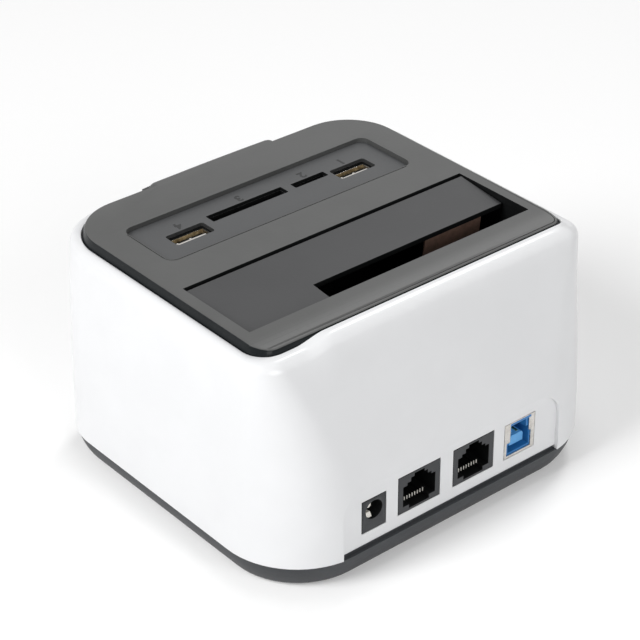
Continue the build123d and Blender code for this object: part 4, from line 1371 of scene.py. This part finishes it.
class BaseTray(FormPart):
    """The dark tray under the body, with vents, screw recesses and foot pockets."""

    foot_stand = 1.0
    floor = 2.2
    levels_up = 8
    edge_round = 0.8
    screws = ((55.5, -32.0), (52.0, 42.0))
    feet = (40.0, (-38.0, 40.0), 6.0, 1.2)
    side_middle = 4.6
    side_insets = (3.8, 1.7, 0.4)
    vents = (9, 5.0, 46.0, 2.0)
    sill = (41.6, 58.2, 60.0, 1.0)
    screw_head = (2.8, 1.8)
    screw_shank = (1.4, 20.0)
    cross = (1.5, 0.32)

    def inset_at(self, z: float) -> float:
        """How far the tray's side stands inside the body's foot at height z."""
        return parabola((self.foot_stand, self.side_middle, self.form.base_top), self.side_insets, z)

    def levels(self) -> list[Level]:
        """The tray's section: up the outside, over the edge and down inside."""
        plan = self.form.plan(self.form.base_top)
        low, high = self.foot_stand, self.form.base_top
        made = [Level(plan.inset(self.inset_at(low) + self.edge_round), low)]
        for step in range(self.levels_up + 1):
            z = low + self.edge_round * 0.6 + (high - low - self.edge_round * 0.6) * step / self.levels_up
            made.append(Level(plan.inset(self.inset_at(z)), z))
        return made

    def build(self) -> None:
        """Makes the tray."""
        form = self.form
        bm = WallSweep(14, (2, 2, 2, 2)).build(self.levels(), False)
        tray = Mould.solid(bm, "base")
        plan = form.plan(form.base_top)
        inner = [Level(plan.inset(5.2), z) for z in (self.foot_stand + self.floor, form.base_top + 3)]
        cutters = [Mould.solid(WallSweep(10, (1, 1, 1, 1)).build(inner, False), "hollow_cutter")]
        for x, y in self.screws:
            for side in (-1, 1):
                cutters.append(Mould.solid(Mould.post((side * x, y, -1), 3.1, 6.0), "screw_cutter"))
        reach, rows, radius, pocket = self.feet
        for y in rows:
            for side in (-1, 1):
                post = Mould.post((side * reach, y, -1), radius + 0.1, 1 + self.foot_stand + pocket, 64)
                cutters.append(Mould.solid(post, "foot_cutter"))
        count, pitch, length, width = self.vents
        for row in range(count):
            y = (row - (count - 1) / 2) * pitch
            vent = Mould.block((-length / 2, y - width / 2, 0), (length / 2, y + width / 2, 5))
            Mould.round_edges(vent, width / 2 - 0.01, 6, upright)
            cutters.append(Mould.solid(vent, "vent_cutter"))
        Mould.cut(tray, cutters)
        half, near, far, rise = self.sill
        sill = Mould.block((-half, near, form.base_top - 1), (half, far, form.base_top + rise))
        Mould.cut(tray, [Mould.solid(sill, "sill")], "UNION")
        Mould.soften(tray, 0.25, 2, 40.0)
        self.dress(tray, [BASE], Body.HOUSING, ["base_tray"])
        self.build_feet()
        self.build_screws()

    def build_feet(self) -> None:
        """Makes the rubber pads with a rounded rim."""
        reach, rows, radius, pocket = self.feet
        bm = bmesh.new()
        for y in rows:
            for side in (-1, 1):
                bmesh.ops.create_cone(
                    bm, cap_ends=True, segments=64, radius1=radius, radius2=radius,
                    depth=self.foot_stand + pocket,
                    matrix=Matrix.Translation((side * reach, y, (self.foot_stand + pocket) / 2)),
                )
        Mould.round_edges(bm, 0.5, 3, lambda edge: all(vert.co.z < 0.01 for vert in edge.verts))
        feet = Mould.solid(bm, "foot_pads")
        feet.data.shade_smooth()
        self.dress(feet, [RUBBER], Body.HOUSING, ["rubber_feet"])

    def build_screws(self) -> None:
        """Makes the case screws with domed, cross-recessed heads."""
        bm = bmesh.new()
        seat = self.foot_stand + 4.0
        parts = ((self.screw_head, 40, -1), (self.screw_shank, 24, 1))
        for x, y in self.screws:
            for side in (-1, 1):
                for (radius, length), steps, way in parts:
                    at = Matrix.Translation((side * x, y, seat + way * length / 2))
                    bmesh.ops.create_cone(
                        bm, cap_ends=True, segments=steps, radius1=radius, radius2=radius, depth=length, matrix=at
                    )
        Mould.round_edges(bm, 0.9, 4, lambda edge: all(vert.co.z < seat - 1.7 for vert in edge.verts))
        screws = Mould.solid(bm, "case_screws_driven")
        cutters = []
        for x, y in self.screws:
            for side in (-1, 1):
                for size in (self.cross, self.cross[::-1]):
                    low = (side * x - size[0], y - size[1], 0)
                    high = (side * x + size[0], y + size[1], seat - 0.7)
                    cutters.append(Mould.solid(Mould.block(low, high), "cross_cutter"))
        Mould.cut(screws, cutters)
        Mould.soften(screws, 0.08, 2)
        self.dress(screws, [STEEL], Body.HOUSING, ["case_screws"])


class CardPanel(Part):
    """The plain numbers printed beside the card panel's mouths."""

    marks = (("1", -32.0, -28.6), ("2", -17.1, -29.6), ("3", 7.1, -30.4), ("4", 31.2, -28.6))
    height = 4.6
    depth = 0.03
    weight = 0.16

    def build(self, floor_z: float) -> None:
        """Makes the numbers.

        Args:
            floor_z: the panel floor's height.
        """
        for text, x, y in self.marks:
            curve = bpy.data.curves.new(f"mark_{text}", "FONT")
            curve.body = text
            curve.size = self.height * MM
            curve.extrude = self.depth * MM
            curve.offset = self.weight * MM
            curve.align_x = "CENTER"
            curve.align_y = "CENTER"
            source = linked(f"mark_curve_{text}", curve)
            bpy.context.view_layer.update()
            graph = bpy.context.evaluated_depsgraph_get()
            mesh = bpy.data.meshes.new_from_object(source.evaluated_get(graph), depsgraph=graph)
            bpy.data.objects.remove(source)
            mesh.transform(Matrix.Translation(place(x, y, floor_z)))
            self.dress(linked(f"mark_{text}", mesh), [PRINT], Body.HOUSING)


class Fascia(Part):
    """The bowed strip down the front, with its windows, button holes and the flanges behind the wall."""

    half_width = 25.0
    heights = (26.0, 74.1)
    face = -55.4
    bow = 1.2
    thickness = 2.8
    inner = 1.9
    flange = 2.5
    flange_heights = (27.0, 68.8)
    buttons = (11.0, 52.0, 5.05)
    windows = (5, 8.0, 66.0, 4.0, 1.8)
    bosses = (21.0, (43.0, 61.0), 2.2, 9.8)

    def build(self) -> None:
        """Makes the fascia."""
        half, back = self.half_width, self.face + self.thickness
        low, high = self.flange_heights
        bm = Mould.block((-half, self.face, self.heights[0]), (half, back, self.heights[1]))
        Mould.bow(bm, half, self.face, self.bow, 40)
        fascia = Mould.solid(bm, "fascia")
        added = [
            Mould.block((-half, back - 0.1, low), (half, back + self.inner, high)),
            Mould.block((-half - self.flange, back + 0.75, low), (half + self.flange, back + self.inner, high)),
        ]
        boss_x, rows, radius, reach = self.bosses
        added += [
            Mould.rod(side * boss_x, (back - 0.5, back + reach), z, radius) for side in (-1, 1) for z in rows
        ]
        Mould.cut(fascia, [Mould.solid(piece, "backing") for piece in added], "UNION")
        through = (self.face - 5, back + self.inner + 1)
        x, z, radius = self.buttons
        cutters = [Mould.rod(side * x, through, z, radius) for side in (-1, 1)]
        count, pitch, z, width, height = self.windows
        for index in range(count):
            x = (index - (count - 1) / 2) * pitch
            low_corner = (x - width / 2, through[0], z - height / 2)
            cutters.append(Mould.block(low_corner, (x + width / 2, through[1], z + height / 2)))
        Mould.cut(fascia, [Mould.solid(piece, "opening") for piece in cutters])
        Mould.soften(fascia, 0.2, 2, 40.0, 0.02)
        self.dress(fascia, [FASCIA], Body.HOUSING, ["front_fascia"])


class Sockets(Part):
    """The sockets and the smaller mouldings, made anew or refined from their nodes."""

    fast_ports = (30.8, -32.4)
    lip = (-20.4, -19.45, 72.9, 74.62)
    host_x = -26.6
    network_x = (13.6, -7.8)
    network_size = (16.1, 16.0, 12.9)
    network_steps = (
        (7.6, 0.75, 2.2),
        (12.35, 2.07, 9.0),
        (9.2, 8.9, 9.9),
        (6.4, 9.8, 11.2),
        (3.8, 11.1, 12.2),
    )
    network_depth = 11.5
    wire_pitch = 1.02
    jack = (30.9, 20.9)
    leaf_sides = (0.1, 1.9)
    leaf_section = ((-0.8, -2.9), (-1.6, -1.5), (-7.0, -2.4), (-9.4, -2.5), (-9.4, -2.9))

    def refinements(self) -> list[Refinement]:
        """The nodes that get a rounded copy."""
        housing = Body.HOUSING
        # Painted shade: faces deep in the jack's mouth turn black.
        made = [Refinement("dc_jack", SOCKET_FACE, housing, 0.15, INNER_BLACK_AND_SHADE, self.is_deep)]
        for number, x in enumerate(self.fast_ports, 1):
            name, lips = f"usb_a_shell_{number}", self.lip_blocks(x)
            made += [
                # Painted light: the shells' rear-facing inner walls get the warm lit tone.
                Refinement(name, NICKEL, housing, 0.12, LIT_WARM_WALL, self.faces_back, added=lips),
                Refinement(f"usb_a_tongue_{number}", INNER_BLACK_AND_SHADE, housing, 0.12),
            ]
        top = self.host_top()
        made += [
            Refinement("usb_b_shell", NICKEL, housing, 0.1, added=self.host_strips()),
            Refinement("usb_b_insert", INSERT, housing, 0.12, TONGUE_BLUE, self.on_tongue, added=top),
            # Painted shade: the flap's edges and underside turn black.
            Refinement("drive_flap", FLAP, Body.FLAP, 0.2, INNER_BLACK_AND_SHADE, self.faces_away, flat=True),
            Refinement("power_button", BUTTON, Body.POWER_KEY, 0.15),
            Refinement("backup_button", BUTTON, Body.BACKUP_KEY, 0.15),
        ]
        return made

    def lip_blocks(self, x: float) -> tuple[tuple[Sequence[float], Sequence[float]], ...]:
        """The bright lip along the near edge of a fast port, with the shell's seam in its middle."""
        far, near, low, high = self.lip
        return (
            ((x - 3.5, far, low), (x + 6.9, near, high)),
            ((x + 1.4, far - 0.5, low), (x + 2.2, far + 0.1, high)),
            ((x + 6.2, far - 0.5, low), (x + 6.9, far + 0.1, high)),
        )

    def host_strips(self) -> tuple[tuple[Sequence[float], Sequence[float]], ...]:
        """The host port's bright side strips beside its blue insert."""
        right, left = self.host_x + 6.12, self.host_x - 6.12
        near, far = PORT_PLANE + 0.04, PORT_PLANE - 0.6
        low, high = BOARD_TOP + 0.03, BOARD_TOP + 12.17
        return (
            ((right - 2.3, far, low + 5.4), (right, near, high)),
            ((right - 0.9, far, low), (right, near, low + 5.6)),
            ((left, far, low), (left + 1.45, near, high)),
        )

    def host_top(self) -> tuple[tuple[Sequence[float], Sequence[float]], ...]:
        """The blue insert's upper edge, between the strips."""
        return (
            (
                (self.host_x - 4.6, PORT_PLANE - 0.6, BOARD_TOP + 11.2),
                (self.host_x + 3.8, PORT_PLANE + 0.06, BOARD_TOP + 12.0),
            ),
        )

    def is_deep(self, centre: Vector, normal: Vector) -> bool:
        """Whether a face of a rear socket lies inside its mouth."""
        return centre.y < PORT_PLANE - 0.3

    def on_tongue(self, centre: Vector, normal: Vector) -> bool:
        """Whether a face belongs to the host port's tongue."""
        across = abs(centre.x - self.host_x) < 2.9
        return across and abs(centre.z - BOARD_TOP - 4.6) < 1.75 and centre.y > PORT_PLANE - 9.0

    @staticmethod
    def faces_back(centre: Vector, normal: Vector) -> bool:
        """Whether a face inside a fast port faces the rear, below the lip."""
        return normal.y > 0.5 and centre.y < -22.0

    @staticmethod
    def faces_away(centre: Vector, normal: Vector) -> bool:
        """Whether a face doesn't face upwards."""
        return normal.z < 0.6

    def build_network_jack(self, number: int, x: float) -> None:
        """Makes a network jack's housing with its stepped opening, latch side up.

        Args:
            number: the jack's number.
            x: its middle.
        """
        width, depth, height = self.network_size
        low, plane = BOARD_TOP, PORT_PLANE
        block = Mould.block((x - width / 2, plane - depth, low), (x + width / 2, plane, low + height))
        jack = Mould.solid(block, f"jack_{number}")
        cutters = []
        for step_width, bottom, top in self.network_steps:
            box = Mould.block(
                (x - step_width / 2, plane - self.network_depth, low + bottom),
                (x + step_width / 2, plane + 1, low + top),
            )
            cutters.append(Mould.solid(box, "step_cutter"))
        Mould.cut(jack, cutters)
        Mould.soften(jack, 0.12, 2)
        # Painted shade: the faces deep in the mouth turn black.
        self.mark_faces(jack, 1, self.is_deep)
        self.dress(jack, [SOCKET_FACE, INNER_BLACK_AND_SHADE], Body.HOUSING, [f"network_jack_{number}"])

    def build_network_contacts(self) -> None:
        """Makes the sprung wires, painted black as shade, with their tips painted near-white as a highlight near
        the mouths.
        """
        tips = linked("network_wires", bpy.data.meshes.new("network_wires"))
        plane, low = PORT_PLANE, BOARD_TOP
        boxes = []
        for x in self.network_x:
            for index in range(8):
                spot = x + (index - 3.5) * self.wire_pitch
                boxes.append(((spot - 0.13, plane - 2.6, low + 2.0), (spot + 0.13, plane - 2.4, low + 3.2)))
                boxes.append(((spot - 0.12, plane - 11.5, low + 3.0), (spot + 0.12, plane - 2.5, low + 3.15)))
        Mould.join_blocks(tips, boxes)
        # The tips get the painted highlight; the wires behind them stay black as painted shade.
        self.mark_faces(tips, 1, lambda centre, normal: centre.y > plane - 2.65)
        self.dress(tips, [INNER_BLACK_AND_SHADE, HIGHLIGHT_METAL], Body.HOUSING, ["network_contacts"])

    def build_jack_contact(self) -> None:
        """Makes the power jack's leaf contact, whose bent front faces the mouth, painted near-white as a
        highlight.
        """
        x, z = self.jack
        plane = PORT_PLANE
        bm = bmesh.new()
        section = [
            bm.verts.new((x + self.leaf_sides[0], plane + back, z + rise)) for back, rise in self.leaf_section
        ]
        side = bmesh.ops.contextual_create(bm, geom=section)["faces"]
        pushed = bmesh.ops.extrude_face_region(bm, geom=side)["geom"]
        verts = [item for item in pushed if isinstance(item, bmesh.types.BMVert)]
        bmesh.ops.translate(bm, vec=(self.leaf_sides[1] - self.leaf_sides[0], 0, 0), verts=verts)
        contact = Mould.solid(bm, "jack_leaf")
        Mould.soften(contact, 0.15, 2)
        self.dress(contact, [HIGHLIGHT_METAL], Body.HOUSING, ["dc_jack_contact"])

    def build(self, frame: dict) -> None:
        """Makes the refined copies and dresses every node that still shows.

        Args:
            frame: the loaded frame.
        """
        for plan in self.refinements():
            self.refined(frame, plan)
        for number, x in enumerate(self.network_x, 1):
            self.build_network_jack(number, x)
        self.build_network_contacts()
        self.build_jack_contact()
        for node, finish in NODE_FINISHES.items():
            obj = frame["nodes"][node]
            obj.data.materials.clear()
            obj.data.materials.append(self.paint.material(finish))
            obj.data.shade_smooth()
            obj.data.set_sharp_from_angle(angle=SMOOTH_ANGLE)
            LOG.info("%s: %s", node, finish.name)


@dataclass
class Lamp:
    """One soft studio lamp that faces the model."""

    name: str
    spot: tuple[float, float, float]
    size: float
    watts: float


@dataclass
class Studio:
    """The floor, the lamps, the surroundings and the camera."""

    eye: tuple[float, float, float] = (359.471, 431.706, 392.427)
    azimuth: float = 140.245
    elevation: float = 31.876
    roll: float = -0.335
    lens: float = 122.48
    ambient: float = 0.25
    floor_glow: float = 0.2
    lamps: tuple[Lamp, ...] = (
        Lamp("key", (1.1, -0.1, 0.9), 0.7, 16.0),
        Lamp("rear_fill", (0.1, 1.3, 0.7), 0.9, 8.0),
        Lamp("roll_light", (-0.7, -0.26, 1.05), 0.35, 4.0),
    )

    def build(self) -> None:
        """Makes the whole studio."""
        self.build_floor()
        self.build_world()
        for lamp in self.lamps:
            self.build_lamp(lamp)
        self.build_camera()
        bpy.context.scene.view_settings.view_transform = "Standard"

    def build_floor(self) -> None:
        """A wide pale floor that keeps the object's shadow, and shows white like the surroundings."""
        bm = bmesh.new()
        bmesh.ops.create_grid(bm, x_segments=1, y_segments=1, size=4.0)
        mesh = bpy.data.meshes.new("floor")
        bm.to_mesh(mesh)
        bm.free()
        floor = linked("floor", mesh)
        made = bpy.data.materials.new("floor_paper")
        made.use_nodes = True
        graph = Graph(made.node_tree)
        shader = graph.node(
            "ShaderNodeBsdfPrincipled",
            {},
            {
                "Base Color": (0.8, 0.8, 0.8, 1),
                "Roughness": 0.9,
                "Specular IOR Level": 0.0,
                "Emission Color": (1, 1, 1, 1),
                "Emission Strength": self.seen(graph) * self.floor_glow,
            },
        )
        graph.node("ShaderNodeOutputMaterial", {}, {"Surface": Wire(graph, shader.outputs["BSDF"])})
        mesh.materials.append(made)

    def build_world(self) -> None:
        """White surroundings for the camera and reflections, dimmer as light."""
        world = bpy.data.worlds.new("studio")
        world.use_nodes = True
        bpy.context.scene.world = world
        graph = Graph(world.node_tree)
        strength = self.seen(graph) * (1.0 - self.ambient) + self.ambient
        back = graph.node("ShaderNodeBackground", {}, {"Color": (1, 1, 1, 1), "Strength": strength})
        graph.node("ShaderNodeOutputWorld", {}, {"Surface": Wire(graph, back.outputs["Background"])})

    @staticmethod
    def seen(graph: Graph) -> Wire:
        """One for rays that show the surroundings: to the camera, in a reflection or through glass."""
        path = graph.node("ShaderNodeLightPath")
        camera, glossy, clear = (
            Wire(graph, path.outputs[name]) for name in ("Is Camera Ray", "Is Glossy Ray", "Is Transmission Ray")
        )
        return camera.most(glossy).most(clear)

    def build_lamp(self, lamp: Lamp) -> None:
        """Adds an area lamp that faces the model's middle.

        Args:
            lamp: the lamp's settings.
        """
        data = bpy.data.lights.new(lamp.name, "AREA")
        data.shape = "DISK"
        data.size = lamp.size
        data.energy = lamp.watts
        made = linked(lamp.name, data)
        made.location = lamp.spot
        aim = Vector((0, 0, 0.04)) - Vector(lamp.spot)
        made.rotation_euler = aim.to_track_quat("-Z", "Y").to_euler()

    def build_camera(self) -> None:
        """Adds the camera where the photograph was taken from."""
        data = bpy.data.cameras.new("camera")
        data.sensor_width = 36.0
        data.lens = self.lens
        data.clip_start = 0.01
        data.clip_end = 20.0
        made = linked("camera", data)
        a, e = math.radians(self.azimuth), math.radians(self.elevation)
        back = Vector((math.sin(a) * math.cos(e), -math.cos(a) * math.cos(e), math.sin(e)))
        right = (-back).cross(Vector((0, 0, 1))).normalized()
        up = right.cross(-back)
        turn = math.radians(self.roll)
        rolled_right = right * math.cos(turn) + up * math.sin(turn)
        rolled_up = up * math.cos(turn) - right * math.sin(turn)
        basis = Matrix((rolled_right, rolled_up, back)).transposed().to_4x4()
        made.matrix_world = Matrix.Translation(place(*self.eye)) @ basis
        bpy.context.scene.camera = made


def main() -> None:
    """Loads the frame and builds everything around it."""
    logging.basicConfig(level=logging.INFO, format="%(message)s")
    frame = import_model()
    paint = Paint()
    form = BodyForm()
    Studio().build()
    Shell(paint, form).build()
    Cover(paint, form).build()
    BaseTray(paint, form).build()
    CardPanel(paint).build(form.cover_top - Cover.panel_depth)
    Fascia(paint).build()
    Sockets(paint).build(frame)


if __name__ == "__main__":
    main()
